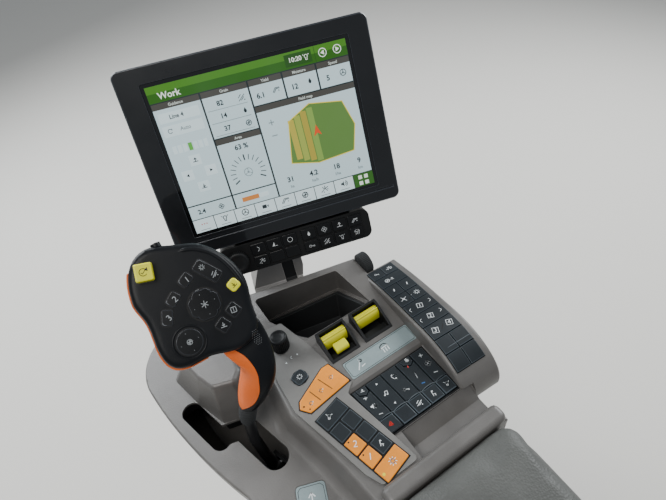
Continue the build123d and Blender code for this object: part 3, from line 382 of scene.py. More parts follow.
def paddle(name, side, x0, x1, corner):
    # A yellow piece with this side view, drawn from x0 to x1 in millimetres, its edges rounded
    shape = prism(*[[Vector((x, PADDLE_Y + y, PANEL_Z + z)) * MM for y, z in side] for x in (x0, x1)])
    sharp = [edge for edge in shape.edges if edge.calc_face_angle(0) > math.radians(35)]
    bmesh.ops.bevel(shape, geom=sharp, offset=corner * MM, segments=3, profile=0.5, affect="EDGES")
    return add_piece(name, smoothed(meshed(name, shape), 45), "console", "yellow", paddle_yellow)


left_flap = paddle("paddle_flap", FLAP, 42.6, 73.4, 0.45)
paddle("paddle_flap", FLAP, 88.6, 119.4, 0.45)
paddle("paddle_tab", TAB, 50.5, 67.5, 0.9)
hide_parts("yellow_paddles")


# Label plates: one on the lever deck and a long one in front of the keyboard, satin pale blue-grey
# foil on a stiff carrier, with a thin dark line round the edge and white symbols printed on.
def text_outlines(text, size, bold=0.0):
    # Filled outlines of a short text, centred, as polygons in its own plane
    curve = tuned(bpy.data.curves.new("letters", "FONT"), body=text, size=size, offset=bold, resolution_u=3,
                  align_x="CENTER", align_y="CENTER")
    carrier = set_out("letters", curve)
    mesh = worked_mesh(carrier)
    faces = [[tuple(mesh.vertices[i].co[:2]) for i in face.vertices] for face in mesh.polygons]
    bpy.data.objects.remove(carrier)
    bpy.data.curves.remove(curve)
    bpy.data.meshes.remove(mesh)
    return faces


def line_outlines(points, width):
    # A line of even width as one polygon for each straight run, overlapping at the bends
    faces = []
    for (x0, y0), (x1, y1) in zip(points, points[1:]):
        length = math.hypot(x1 - x0, y1 - y0) or 1
        ux = (x1 - x0) / length * width / 2
        uy = (y1 - y0) / length * width / 2
        faces.append([(x0 - ux + uy, y0 - uy - ux), (x1 + ux + uy, y1 + uy - ux),
                      (x1 + ux - uy, y1 + uy + ux), (x0 - ux - uy, y0 - uy + ux)])
    return faces


def arc_points(x, y, radius, start, end, steps=14):
    angles = [math.radians(start + (end - start) * i / steps) for i in range(steps + 1)]
    return [(x + radius * math.cos(a), y + radius * math.sin(a)) for a in angles]


def disc(x, y, radius):
    # Outline of a round dot
    return arc_points(x, y, radius, 0, 330, 11)


def metres(points):
    # An outline in metres from one in millimetres
    return [(x * MM, y * MM) for x, y in points]


def symbol_outlines(strokes, size, width):
    # Symbols are drawn in a square from -100 to 100. A stroke is a line through its points, or it
    # starts with the word arc, dot, fill or text.
    faces = []
    step = size / 200
    for stroke in strokes:
        kind, *data = stroke if isinstance(stroke[0], str) else ("line", *stroke)
        if kind == "line":
            faces += line_outlines([(x * step, y * step) for x, y in data], width)
        elif kind == "arc":
            x, y, radius, start, end = data
            faces += line_outlines(arc_points(x * step, y * step, radius * step, start, end), width)
        elif kind == "dot":
            faces.append(disc(*[value * step for value in data]))
        elif kind == "fill":
            faces.append([(x * step, y * step) for x, y in data])
        elif kind == "text":
            text, share = data
            faces += text_outlines(text, share * step * 2)
    return faces


def dropper(carriers, lift):
    # Gives the function that drops a point of a place's plane onto the surface of the carriers
    reach = 0.03
    trees = []
    for carrier in carriers:
        shape = bmesh.new()
        shape.from_mesh(carrier.data)
        shape.transform(carrier.matrix_world)
        trees.append(BVHTree.FromBMesh(shape))
        shape.free()

    def drop(place, x, y):
        down = -(place.to_3x3() @ Vector((0, 0, 1))).normalized()
        start = place @ Vector((x, y, 0)) - down * reach
        hits = [tree.ray_cast(start, down, 3 * reach) for tree in trees]
        hits = [hit for hit in hits if hit[0] is not None]
        if hits:
            return min(hits, key=lambda hit: hit[3])[0] - down * lift
        return place @ Vector((x, y, 0))

    return drop


def printed(name, prints, carriers, body, slot, material, lift=0.00012):
    # Prints lie on the surface under them: each is a place and polygons in its plane, dropped onto
    # the carriers
    drop = dropper(carriers, lift)
    polygons = [[drop(place, x, y) for x, y in outline] for place, outlines in prints for outline in outlines]
    return add_piece(name, mesh_of(name, polygons), body, slot, material)


def ink(name, colour):
    # Screen-printed ink, slightly uneven and worn through in places
    paint = Paint(name, Roughness=0.5)
    patches = paint.noise(900, 3)
    paint.give("Base Color", paint.blend((patches - 0.45) * 1.6, colour, shade(colour, 0.72)))
    paint.give("Roughness", (0.42 + (patches - 0.5) * 0.4).clipped())
    return paint.material


def placed(x, y, z, turn=0.0):
    # A place in millimetres, turned about its upright axis
    return Matrix.Translation(Vector((x, y, z)) * MM) @ Matrix.Rotation(math.radians(turn), 4, "Z")


def symbols(place_at, rows, size, width):
    # Prints from rows of symbol name and size factor, and then what the place function takes
    return [(place_at(*spot), symbol_outlines(SYMBOLS[name], size * share * MM, width * MM))
            for name, share, *spot in rows]


def spokes(inner, outer, *directions):
    # Short lines from an inner to an outer distance
    return [((x * inner, y * inner), (x * outer, y * outer)) for x, y in directions]


SYMBOLS = {
    "plus": [((-70, 0), (70, 0)), ((0, -70), (0, 70))],
    "minus": [((-70, 0), (70, 0))],
    "bar": [("fill", (-20, -75), (20, -75), (20, 75), (-20, 75))],
    "left": [("fill", (-60, 0), (40, -60), (40, 60))],
    "right": [("fill", (60, 0), (-40, 60), (-40, -60))],
    "open": [((25, 70), (-25, 20), (-25, -20), (25, -70))],
    "shut": [((-25, 70), (25, 20), (25, -20), (-25, -70))],
    "spray": [((-90, -60), (10, 20), (10, 80)), ((10, 20), (90, 50)),
        ((10, 20), (60, -50)), ((-50, 60), (-20, 30)), ("dot", 80, -10, 14), ("dot", -30, -70, 14)],
    "auger": [((-80, -70), (80, 70)), ((-80, 10), (-10, 80)), ((-20, -60), (60, 10)), ("dot", 70, -60, 16)],
    "gear": [("arc", 0, 0, 45, 0, 360), *spokes(45, 85, (0, 1), (0, -1), (1, 0), (-1, 0)),
        *spokes(32, 60, (1, 1), (-1, -1), (1, -1), (-1, 1))],
    "cross": [((-70, -70), (70, 70)), ((-70, 70), (70, -70)), ("arc", 0, 0, 30, 0, 360)],
    "wheel": [("arc", 0, 0, 80, 0, 360), ("dot", 0, 0, 22), ((0, 30), (0, 75)),
        ((30, -15), (65, -40)), ((-30, -15), (-65, -40))],
    "fan": [("arc", 0, 45, 35, -90, 180), ("arc", 45, 0, 35, 180, 450),
        ("arc", 0, -45, 35, 90, 360), ("arc", -45, 0, 35, 0, 270)],
    "note": [("dot", -40, -50, 24), ("dot", 40, -40, 24), ((-20, -50), (-20, 60), (60, 70), (60, -40))],
    "sound": [("fill", (-80, -25), (-40, -25), (0, -70), (0, 70), (-40, 25), (-80, 25)),
        ("arc", 10, 0, 40, -55, 55), ("arc", 10, 0, 75, -55, 55)],
    "phone": [((-60, 70), (-70, 10), (-10, -60), (60, -70)), ("dot", -45, 60, 20),
        ("dot", 50, -55, 20), ("arc", 10, 20, 50, 0, 80)],
    "seat": [((-40, 80), (-30, -30), (60, -30)), ((-30, -30), (-20, -80)),
        ((50, -30), (50, -80)), ("dot", -10, 70, 20)],
    "rain": [("arc", 0, 20, 75, 10, 170), ((-75, 30), (75, 30)),
        ((-40, 0), (-50, -60)), ((10, 0), (0, -60)), ((60, 0), (50, -60))],
    "warning": [((-80, -65), (80, -65), (0, 80), (-80, -65)), ((-35, -40), (35, -40), (0, 25), (-35, -40))],
    "drop": [("fill", (0, 80), (40, 0), (30, -45), (0, -60), (-30, -45), (-40, 0))],
    "wedge": [((-15, 80), (15, -80), (10, -80), (-15, 80))],
    "turn": [("arc", 0, 0, 60, 40, 320), ("fill", (75, 10), (20, 30), (70, 75))],
    "lift": [((-80, -50), (80, -50)), ((0, -40), (0, 70)), ((-35, 30), (0, 75), (35, 30))],
    "lower": [((-80, -60), (80, -60)), ((0, -30), (0, 70)), ((-35, 10), (0, -35), (35, 10))],
    "reel": [("arc", 0, 0, 70, 0, 360), ((-70, 0), (70, 0)), ((0, -70), (0, 70)), ((-50, -50), (50, 50))],
    "pipe": [((-90, -50), (-20, 50), (90, 50)), ((-60, -60), (5, 25), (90, 25)), ("dot", 70, -30, 14)],
    "tick": [((-80, -10), (-30, -60), (80, 70))],
    "spanner": [((-80, -70), (40, 40)), ("arc", 60, 60, 30, -160, 110), ((10, -60), (80, -60))],
    "light": [("arc", 0, 15, 40, -50, 230), ((-20, -30), (-20, -70), (20, -70), (20, -30)),
        ((-80, 60), (-60, 45)), ((80, 60), (60, 45))],
    "cone": [("fill", (-70, -60), (0, 70), (10, -60)), ((20, -60), (80, -60))],
    "camera": [("fill", (-80, -45), (30, -45), (30, 45), (-80, 45)),
        ("fill", (40, 0), (80, -40), (80, 40))],
    "star": [((0, -80), (0, 80)), ((-70, -40), (70, 40)), ((-70, 40), (70, -40))],
    "key": [("arc", -40, 0, 35, 0, 360), ((-5, 0), (85, 0), (85, -35)), ((50, 0), (50, -30))],
    "dots": [("dot", -60, 0, 16), ("dot", 0, 0, 16), ("dot", 60, 0, 16)],
    "dot": [("dot", 0, 0, 35)],
    "ring": [("arc", 0, 0, 75, 0, 360)],
}
BOX = ((-90, -90), (90, -90), (90, 90), (-90, 90), (-90, -90))
for digit in "1234":
    SYMBOLS[digit] = [("text", digit, 190)]
    SYMBOLS["box" + digit] = [("text", digit, 100), BOX]
label_foil = grained("label_foil", (0.225, 0.282, 0.290), 0.40, 0.0016, 0.00002, 0.2)
line_ink = ink("label_line", (0.02, 0.024, 0.028))
white_ink = ink("white_ink", (0.72, 0.75, 0.76))
label_strip = moulded("label_strip", label_foil, 0.0003, 1)
label_plate = moulded("label_plate", label_foil, 0.0003, 1)


def frame_line(x0, x1, y0, y1, corner):
    # Thin line round a label, with cut corners
    ring = [(x0 + corner, y0), (x1 - corner, y0), (x1, y0 + corner), (x1, y1 - corner), (x1 - corner, y1),
            (x0 + corner, y1), (x0, y1 - corner), (x0, y0 + corner), (x0 + corner, y0)]
    return line_outlines(metres(ring), 0.5 * MM)


# The deck's plate: x, y, height of its face and turn
PLATE = (-52, 219, 157, -20)
labels = [label_strip, label_plate]
label_lines = [(placed(0, 0, PANEL_Z), frame_line(48.6, 134.4, 290.6, 309.9, 2)),
               (placed(*PLATE), frame_line(-13, 13, -13, 13, 3))]
printed("label_lines", label_lines, labels, "console", "black_plastic", line_ink)
label_signs = symbols(placed, [("spanner", 1.2, 63, 300, PANEL_Z, 10), ("rain", 1.3, 98, 300, PANEL_Z, 5),
                               ("lift", 1.7, *PLATE)], 10, 1.1)
printed("label_symbols", label_signs, labels, "console", "label_blue", white_ink)


# Key strip on the left of the panel: a thin satin grey bezel with matt keys set into it, orange
# ones for the drive ranges, and at its front a knurled knob on a short spindle.
def turned(rings, around, ribs, depth):
    # A closed shape turned about Z from rings of radius, height and share of the rib depth
    shape = bmesh.new()
    loops = []
    for radius, height, ribbed in rings:
        loop = []
        for i in range(around):
            angle = 2 * math.pi * i / around
            reach = radius - ribbed * depth * (0.5 - 0.5 * math.cos(ribs * angle))
            point = Vector((reach * math.cos(angle), reach * math.sin(angle), height))
            loop.append(shape.verts.new(point * MM))
        loops.append(loop)
    for below, above in zip(loops, loops[1:]):
        for i in range(around):
            j = (i + 1) % around
            shape.faces.new((below[i], below[j], above[j], above[i]))
    shape.faces.new(list(reversed(loops[0])))
    shape.faces.new(loops[-1])
    return smoothed(meshed("turned", shape), 50)


# The keys' rounded edges are painted 4.6 times paler, partly rubbed wear and partly painted highlight
key_grey = grained("key_grey", (0.0150, 0.0188, 0.0220), 0.38, 0.0006, 0.00004, 0.9, 4.6)
key_orange = grained("key_orange", (0.78, 0.262, 0.020), 0.44, 0.0007, 0.00003, 0.15)
bezel_grey = grained("bezel_grey", (0.168, 0.164, 0.156), 0.40, 0.0012, 0.00003, 0.8, 2.6)
knob_black = grained("knob_black", (0.010, 0.0105, 0.011), 0.42, 0.0006, 0.00003, 0.7)
dark_ink = ink("dark_ink", (0.012, 0.011, 0.010))
bezel = moulded("strip_bezel", bezel_grey, 0.0006)
# Painted shade: flat black ink for the gaps round keys, where shade falls
gap_shade_black = ink("gap_shade_black", (0.006, 0.006, 0.006))
BEZEL_Z = 182
KEYS_Z = 183.6
RANGE_Z = 184
STRIP_FOOT = (27, 195)
STRIP_TURN = 15.5
STRIP_PITCH = 19
LIGHT_KEY = (0.15, 325.4)
# Painted shade: a black sheet on the bezel under the keys shows in the gaps between them, where shade falls
STRIP_GAP_SHADE = [(-17.4, -9.9), (17.4, -9.9), (17.4, 85.9), (-17.4, 85.9)]
RANGE_GAP_SHADE = [(24.9, 321.3), (-15.5, 301.4), (-20.0, 292.5), (-11.0, 281.4), (44.4, 288.7), (35.0, 321.3)]
printed("strip_gap_shade", [(placed(*STRIP_FOOT, BEZEL_Z, STRIP_TURN), [metres(STRIP_GAP_SHADE)]),
                       (placed(0, 0, BEZEL_Z), [metres(RANGE_GAP_SHADE)]),
                       (placed(*LIGHT_KEY, BEZEL_Z, STRIP_TURN), [disc(0, 0, 0.0094)])],
        [bezel], "console", "black_plastic", gap_shade_black)
strip_keys = moulded("strip_keys", key_grey, 0.0004)
orange_keys = moulded("orange_keys", key_orange, 0.0004)
range_keys = moulded("range_keys", key_orange, 0.0005)
KNOB = [(9.2, 0, 0), (10.3, 0.8, 1), (10.4, 2.5, 1), (10.4, 19.0, 1), (10.2, 19.8, 0), (9.9, 20.6, 0),
        (9.2, 21.5, 0), (8.4, 22.0, 0), (7.4, 22.0, 0), (6.8, 21.4, 0), (6.2, 20.9, 0), (3.0, 20.6, 0),
        (0.6, 20.6, 0)]
knob = add_piece("knurled_knob", turned(KNOB, 224, 28, 1.1), "console", "black_plastic", knob_black)
knob.data.transform(placed(2.15, 372.4, BEZEL_Z))
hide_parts("strip_knob")


def on_strip(x, row):
    # A spot on the strip's keys, x from their middle and the row from the rear, for a slanted sign
    return placed(*STRIP_FOOT, KEYS_Z, STRIP_TURN) @ placed(x, row * STRIP_PITCH, 0, -45)


strip_signs = symbols(on_strip, [("light", 1.0, -4, 4.05), ("seat", 0.85, 8.5, 1), ("1", 0.62, -8.5, 1),
                                 ("2", 0.62, -8.5, 2), ("gear", 1.15, 2, 0)], 8, 0.72)
strip_signs += symbols(placed, [
    ("turn", 0.8, -5, 291.5, RANGE_Z, -25), ("turn", 0.8, 11, 297.5, RANGE_Z, -25),
    ("turn", 0.8, 28, 304.5, RANGE_Z, -25), ("gear", 0.85, *LIGHT_KEY, RANGE_Z, -25),
    ("left", 0.5, -3.5, 350, BEZEL_Z, -15), ("open", 0.55, 4.5, 353, BEZEL_Z, -15),
    ("right", 0.5, 12.5, 352.5, BEZEL_Z, -15)], 8, 0.72)
strip_tops = [strip_keys, orange_keys, range_keys, bezel]
printed("strip_symbols", strip_signs, strip_tops, "console", "label_blue", white_ink)
printed("strip_slits", [
    (placed(0, 0, KEYS_Z), line_outlines([(0.0050, 0.2888), (0.0003, 0.3035)], 0.0009)),
    (placed(0, 0, KEYS_Z), line_outlines([(0.0218, 0.2925), (0.0152, 0.3105)], 0.0009)),
    (placed(-13.5, 292.5, KEYS_Z), [disc(0, 0, 0.0011)]), (placed(-9.5, 286.5, KEYS_Z), [disc(0, 0, 0.0009)]),
    (on_strip(-11.6, 2.33), [disc(0, 0, 0.0009)]), (on_strip(-11.6, 1.33), [disc(0, 0, 0.0009)])],
    [range_keys, orange_keys], "console", "black_plastic", dark_ink)
yellow_ink = ink("yellow_ink", (0.75, 0.62, 0.03))
yellow_dot = [(on_strip(-13, -0.05), [disc(0, 0, 0.0016)])]
printed("strip_dot", yellow_dot, [orange_keys], "console", "yellow", yellow_ink)


# Keyboard: a sunk tray with five tall rocker keys and five low ones, matt caps with a fine
# chamfer, and gloss black on the hazard key.
gloss_black = grained("gloss_black", (0.006, 0.006, 0.007), 0.16, 0.0030, 0.00001, 0.6, Coat_Weight=0.5)
tray_black = grained("tray_black", (0.006, 0.0062, 0.0066), 0.6, 0.0009)
moulded("keyboard_tray", tray_black, 0.0003, 1)
tall_keys = moulded("keyboard_tall_keys", key_grey, 0.0004)
low_keys = moulded("keyboard_low_keys", key_grey, 0.0004)
KEYBOARD_Z = 179.5
KEYBOARD_LEFT = 33
KEYBOARD_WIDTH = 101
KEYBOARD_DEPTH = 63
KEYBOARD_FRONT = 279
KEYBOARD_LEAN = 10
SIGN_TURN = -18


def on_keys(column, y):
    # Middle of a keyboard column, counted from 0. The keyboard's left side leans in to the front
    edges = []
    for share in (column / 5, (column + 1) / 5):
        lean = (1 - share) * KEYBOARD_LEAN / KEYBOARD_DEPTH * (KEYBOARD_FRONT - y)
        edges.append(KEYBOARD_LEFT + share * KEYBOARD_WIDTH + lean)
    return placed(sum(edges) / 2, y, KEYBOARD_Z, SIGN_TURN)


keyboard_signs = symbols(on_keys, [
    ("plus", 0.7, 0, 264), ("sound", 1.0, 0, 252), ("minus", 0.7, 0, 241), ("right", 0.6, 1, 270),
    ("note", 1.0, 1, 256), ("left", 0.6, 1, 242), ("phone", 1.05, 2, 266), ("key", 1.0, 2, 247),
    ("wedge", 1.35, 3, 254), ("plus", 0.75, 4, 269), ("fan", 1.15, 4, 257), ("minus", 0.75, 4, 244),
    ("auger", 0.95, 2, 227), ("seat", 0.95, 3, 227), ("light", 0.95, 4, 227)], 7.4, 0.62)
keyboard_signs += symbols(placed, [("lift", 0.6, 47.5, 273, KEYBOARD_Z, SIGN_TURN),
                                   ("rain", 0.7, 108, 273.3, KEYBOARD_Z, SIGN_TURN)], 7.4, 0.62)
all_keys = [tall_keys, low_keys]
printed("keyboard_symbols", keyboard_signs, all_keys, "console", "label_blue", white_ink)
HAZARD_KEY = [(43.6, 218.5), (60.2, 218.5), (58.0, 233.7), (41.0, 233.7)]
hazard = [(placed(0, 0, KEYBOARD_Z), [metres(HAZARD_KEY)])]
printed("hazard_face", hazard, [low_keys], "console", "black_plastic", gloss_black, 0.00006)
red_ink = ink("red_ink", (0.42, 0.022, 0.015))
blue_ink = ink("blue_ink", (0.04, 0.16, 0.45))
printed("keyboard_red", symbols(on_keys, [("warning", 0.8, 0, 227), ("drop", 0.7, 3, 266.5)], 7.4, 0.8),
        all_keys, "console", "yellow", red_ink)
printed("keyboard_blue", symbols(on_keys, [("minus", 0.6, 3, 242)], 7.4, 0.9), [tall_keys],
        "console", "label_blue", blue_ink)
# Fine ridge between the two rows of keys, in one low arch over each key, painted pale as a painted highlight
# along its lip
ridge_highlight_paint = grained("ridge_highlight_paint", (0.105, 0.122, 0.134), 0.4, 0.0012, 0.00002)
RIDGE_STEP = 19.8
RIDGE_Y = 235.2
RIDGE_RISE = 1.5
ridge = []
for column in range(5):
    left = 35 + column * RIDGE_STEP + 6.8 * (1 - column / 5)
    for t in (0, 0.12, 0.3, 0.5, 0.7, 0.88):
        y = RIDGE_Y + RIDGE_RISE * math.sin(math.pi * t)
        ridge.append(((left + RIDGE_STEP * t) * MM, y * MM, 0.1796))
beaded("keyboard_ridge", ridge, 0.00045, False, "console", "label_blue", ridge_highlight_paint)


# Side arch: a moulded spine on the right of the panel, its key field set a little into its rounded
# top, with thin black gaps between nearly flush keys.
moulded("side_arch", taupe, 0.0008)
arch_keys = [moulded("arch_small_keys", key_grey, 0.0004), moulded("arch_wide_keys", key_grey, 0.0004)]
ARCH_AT = placed(135.8, 311, 215, -2.5)
ARCH_EDGE = 4.2
ARCH_LENGTH = 90
ARCH_PITCH = 19.6


def on_arch(x, row):
    # A spot on the key field, x from its left side and the row from the front
    return ARCH_AT @ placed(ARCH_EDGE + x, ARCH_LENGTH - (row + 0.5) * ARCH_PITCH, 0, -22)


printed("arch_symbols", symbols(on_arch, [
    ("key", 0.9, 9.5, 0), ("spray", 1.05, 28.5, 0), ("reel", 1.1, 13, 1), ("lift", 0.7, 20, 1),
    ("bar", 0.75, 9.5, 2), ("bar", 0.75, 28.5, 2), ("cross", 1.15, 9.5, 3), ("gear", 1.1, 28.5, 3),
    ("dot", 0.3, 20.5, 3), ("open", 0.9, 5, 4), ("box1", 0.95, 18, 4), ("shut", 0.9, 32, 4),
    ("open", 0.9, 5, 5), ("box2", 0.95, 18, 5), ("shut", 0.9, 32, 5), ("box3", 1.0, 9.5, 6),
    ("box4", 1.0, 28.5, 6)], 7.6, 0.52), arch_keys, "console", "label_blue", white_ink)
printed("arch_slits", [
    (on_arch(19, 6), line_outlines([(-0.0011, -0.0028), (0.0011, 0.0028)], 0.0011)),
    (on_arch(19, 3), line_outlines([(-0.003, -0.0074), (0.003, 0.0074)], 0.0007))],
    arch_keys, "console", "black_plastic", dark_ink)
# A thin rib closes the corner between the arch and the slope beside it
RIB_START = Vector((146.5, 217.5, 177.1))
RIB_STEP = Vector((0, -1, -0.855))
rib = [(RIB_START + RIB_STEP * i) * MM for i in range(14)]
beaded("corner_rib", rib, 0.0012, False, "console", "taupe_plastic", taupe)
arch_drop = dropper(arch_keys, 0.00005)
# A ridge across the arch's key field, painted pale with the same painted highlight
cross_ridge = [arch_drop(ARCH_AT, x * MM, -66.6 * MM) for x in (5.5, 9, 14, 18, 22.9, 26, 30, 35, 41)]
beaded("arch_ridge", cross_ridge, 0.0004, False, "console", "label_blue", ridge_highlight_paint)


# Thumbwheel at the front of the arch: black rubber moulded over a plastic hub, ribbed for the
# thumb. It turns on a short spindle inside the cover.
WHEEL = [(4.0, -7.0, 0), (4.0, -6.4, 0), (12.8, -6.4, 0), (13.8, -6.2, 0), (14.6, -5.6, 0.6), (15.0, -4.6, 1),
         (15.0, 4.6, 1), (14.6, 5.6, 0.6), (13.8, 6.2, 0), (12.8, 6.5, 0), (9.0, 6.0, 0), (2.0, 5.8, 0)]
wheel = add_piece("ribbed_thumbwheel", turned(WHEEL, 240, 40, 0.9), "console", "dark_rubber", rubber)
wheel.data.transform(placed(154, 420.5, 178) @ Matrix.Rotation(math.radians(90), 4, "Y"))
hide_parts("thumbwheel")


# Lever gate: a black collar clipped under the cut-out in the deck, and below it the steel cradle,
# its hinge pin and the cranked steel shaft that the pin carries.
moulded("lever_well", tray_black, 0.0008)
moulded("lever_cradle", painted_steel, 0.0006)
moulded("lever_pin", pin_zinc, 0.0004)
moulded("lever_shaft", painted_steel, 0.0004)


# Drive lever: a crooked grip and a wide head under one soft black shell, a drop-shaped orange
# insert glued into the palm side, an orange rim along the head's left edge, and a rubber boot
# over the top of the steel shaft.
def skinned(shape, voxel, smoothing):
    # The same form as one skin, with its creases melted together
    piece = set_out("skin", meshed("skin", shape))
    modified(piece, "REMESH", mode="VOXEL", voxel_size=voxel)
    return applied(modified(piece, "SMOOTH", factor=0.5, iterations=smoothing))


HEAD_AT = Vector((-57, 358, 335)) * MM
HEAD_PLACE = Matrix.Translation(HEAD_AT) @ Matrix.Rotation(math.radians(43), 4, "X")
shell_black = grained("shell_black", (0.0058, 0.0066, 0.0082), 0.36, 0.0007, 0.00004, 0.4,
                      Specular_IOR_Level=0.18)
insert_orange = grained("insert_orange", (0.78, 0.145, 0.018), 0.40, 0.0009, 0.00002, 0.1)
# Cutter for the insert: its own plane, the drop's right edge from the top, and only the palm side
DROP_AT = Vector((-47, 316, 240)) * MM
DROP_OUT = Vector((-0.026, -0.52, 0.854)).normalized()
DROP_SIDE = Vector((1, -0.014, 0.023))
DROP_RIGHT = (DROP_SIDE - DROP_OUT * DROP_SIDE.dot(DROP_OUT)).normalized()
DROP_UP = DROP_OUT.cross(DROP_RIGHT)
DROP_EDGE = [(-9, 52), (-4, 40), (4.5, 26), (7.5, 13.5), (7.4, 6), (6, 0), (1, -11), (-7, -17.5),
             (-15, -18.5), (-26, -16)]
DROP_CORNERS = [(-60, -16), (-60, 52)]
DROP_REACH = 0.04
PALM = Vector((-0.85, -0.42, 0.3)).normalized()


def smooth_line(points, steps=6):
    # A smooth line through the points, in some steps from each to the next
    bent = []
    for i in range(len(points) - 1):
        near = [points[min(max(j, 0), len(points) - 1)] for j in range(i - 1, i + 3)]
        for t in (step / steps for step in range(steps)):
            bent.append(tuple(0.5 * (2 * b + (c - a) * t + (2 * a - 5 * b + 4 * c - d) * t * t
                                     + (3 * b - a - 3 * c + d) * t ** 3) for a, b, c, d in zip(*near)))
    return bent + [points[-1]]


def drop_cutter(shrink):
    # A block over the grip's palm side with the drop's outline, smaller by a shrink in millimetres
    outline = [(x - shrink, y + (shrink if y < 0 else 0)) for x, y in smooth_line(DROP_EDGE) + DROP_CORNERS]
    shape = prism(*[[DROP_AT + DROP_RIGHT * x * MM + DROP_UP * y * MM + DROP_OUT * depth for x, y in outline]
                    for depth in (-DROP_REACH, DROP_REACH)])
    cut = bmesh.ops.bisect_plane(shape, geom=shape.verts[:] + shape.edges[:] + shape.faces[:],
                                 plane_co=DROP_AT + PALM * shrink * MM, plane_no=-PALM, clear_outer=True)
    edges = [edge for edge in cut["geom_cut"] if isinstance(edge, bmesh.types.BMEdge)]
    bmesh.ops.holes_fill(shape, edges=edges)
    bmesh.ops.recalc_face_normals(shape, faces=shape.faces)
    return set_out("drop", meshed("drop", shape))


def finished(piece, name, slot, material, node):
    # The worked piece becomes a part of the lever, in a node's place
    piece.name = name
    smoothed(piece.data, 40)
    dressed(piece, "lever", slot, material)
    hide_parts(node)
    return piece


skin = skinned(welded("grip_shell", "grip_insert"), 0.0014, 14)
core = set_out("core", skin.data.copy())
# The head's underside stays whole: the cutter works on the grip alone, which ends where the head begins
for piece, shrink, operation in ((skin, 0, "DIFFERENCE"), (core, 0.35, "INTERSECT")):
    cutter = drop_cutter(shrink)
    applied(modified(piece, "BOOLEAN", operation=operation, solver="EXACT", object=cutter))
    bpy.data.objects.remove(cutter)
shell = finished(skin, "lever_shell", "black_plastic", shell_black, "grip_shell")
finished(core, "palm_insert", "orange_grip", insert_orange, "grip_insert")
moulded("head_rim", insert_orange, 0.0003, 1)
# Boot: soft rubber drawn over shaft and grip, its folds worked into the CAD's plain shape
boot = skinned(welded("lever_collar"), 0.0008, 2)
BOOT_FOOT = Vector((-68, 315.5, 184)) * MM
BOOT_AXIS = Vector((-59.3, 315, 214)) * MM - BOOT_FOOT
BOOT_FOLDS = 8
for vertex in boot.data.vertices:
    share = (vertex.co - BOOT_FOOT).dot(BOOT_AXIS) / BOOT_AXIS.length_squared
    out = vertex.co - BOOT_FOOT - BOOT_AXIS * share
    vertex.co += out.normalized() * (0.00045 * math.cos(2 * math.pi * BOOT_FOLDS * share) - 0.0003)
finished(boot, "ribbed_boot", "dark_rubber", rubber, "lever_collar")
moulded("head_side_keys", shell_black, 0.0012, 3)
# Painted highlight: the head keys' rounded edges are painted seven times paler, standing in for the
# reflection in their chamfers
head_black = grained("head_black", (0.0042, 0.0045, 0.0052), 0.28, 0.0006, 0.00002, 1.0, 7.0)
head_keys = moulded("head_keys", head_black, 0.0017, 4)
head_yellow = moulded("head_yellow_buttons", paddle_yellow, 0.0014, 3)


def on_lever(x, y, z=0.0, turn=0.0):
    # A spot on the face of the head, from its middle
    return HEAD_PLACE @ placed(x, y, z, turn)


def four_dots(share, x, y, z, away):
    # Dots above, below and beside a round key's sign
    return [("dot", share, x + dx, y + dy, z) for dx, dy in ((0, away), (0, -away), (-away, 0), (away, 0))]


grey_ink = ink("grey_ink", (0.30, 0.32, 0.33))
printed("head_symbols", symbols(on_lever, [
    ("1", 0.5, 2.2, 21.2, 2, 8), ("2", 0.5, -14.4, 11.0, 2, 12), ("3", 0.5, -26, -0.8, 2, 20),
    ("gear", 0.7, 18, 25, 2), ("auger", 0.8, 25, 14.5, 2), ("box1", 0.65, 24.5, -21.5, 2, -10),
    ("lower", 0.75, 10.5, -29, 2, -10), ("star", 0.95, 5, -5, 3, -10), *four_dots(0.22, 5, -5, 3, 9.5),
    ("dots", 0.5, 5, 9, 3), ("reel", 0.8, -21, -27.5, 2.2, -10), *four_dots(0.2, -21, -27.5, 2.2, 8)],
    8, 0.62), [head_keys], "lever", "label_blue", grey_ink)
printed("head_yellow_symbols", symbols(on_lever, [
    ("turn", 1.3, -26, 43.5, 10, -17), ("tick", 0.55, -26, 43.5, 10, -17), ("lower", 0.7, 35, -2, 2.5, 22)],
    8, 0.55), [head_yellow], "lever", "black_plastic", dark_ink)


def band(width, height, corner):
    # An even band over the outline of a rounded key, as quads
    rings = []
    for extra in (1.0, -0.8):
        ring = []
        w, h, r = width / 2 + extra, height / 2 + extra, max(corner + extra, 0.4)
        for x, y, turn in ((w - r, h - r, 0), (r - w, h - r, 90), (r - w, r - h, 180), (w - r, r - h, 270)):
            ring += arc_points(x * MM, y * MM, r * MM, turn, turn + 90, 5)
        rings.append(ring)
    outer, inner = rings
    return [[outer[i - 1], outer[i], inner[i], inner[i - 1]] for i in range(len(outer))]


# Painted shade: black bands round the keys of the head, where shade falls in the gaps round them; x, y,
# width, height, turn and corner of each key
TALL_KEY = (21, 20, 11.5, 25, 33, 3)
NUMBER_KEYS = [(0.8, 21.8, 12, 9.5, 27, 3), (-16, 11.8, 12.5, 9.5, 33, 3), (-27.5, 0, 14, 9.5, 65, 3)]
OTHER_KEYS = [(24.5, -21.5, 11, 12, 25, 3), (10.5, -29, 11, 12, 28, 3), (-26, 43.5, 15.5, 16.5, -17, 3),
              (35, -2, 10.5, 10.5, 22, 3), (5, -5, 29, 29, 0, 14.5), (-21, -27.5, 23, 23, 0, 11.5)]
gap_shades = [(on_lever(x, y, 0, turn), band(width, height, corner))
         for x, y, width, height, turn, corner in (TALL_KEY, *NUMBER_KEYS, *OTHER_KEYS)]
printed("head_gap_shade", gap_shades, [shell], "lever", "black_plastic", gap_shade_black, 0.0002)
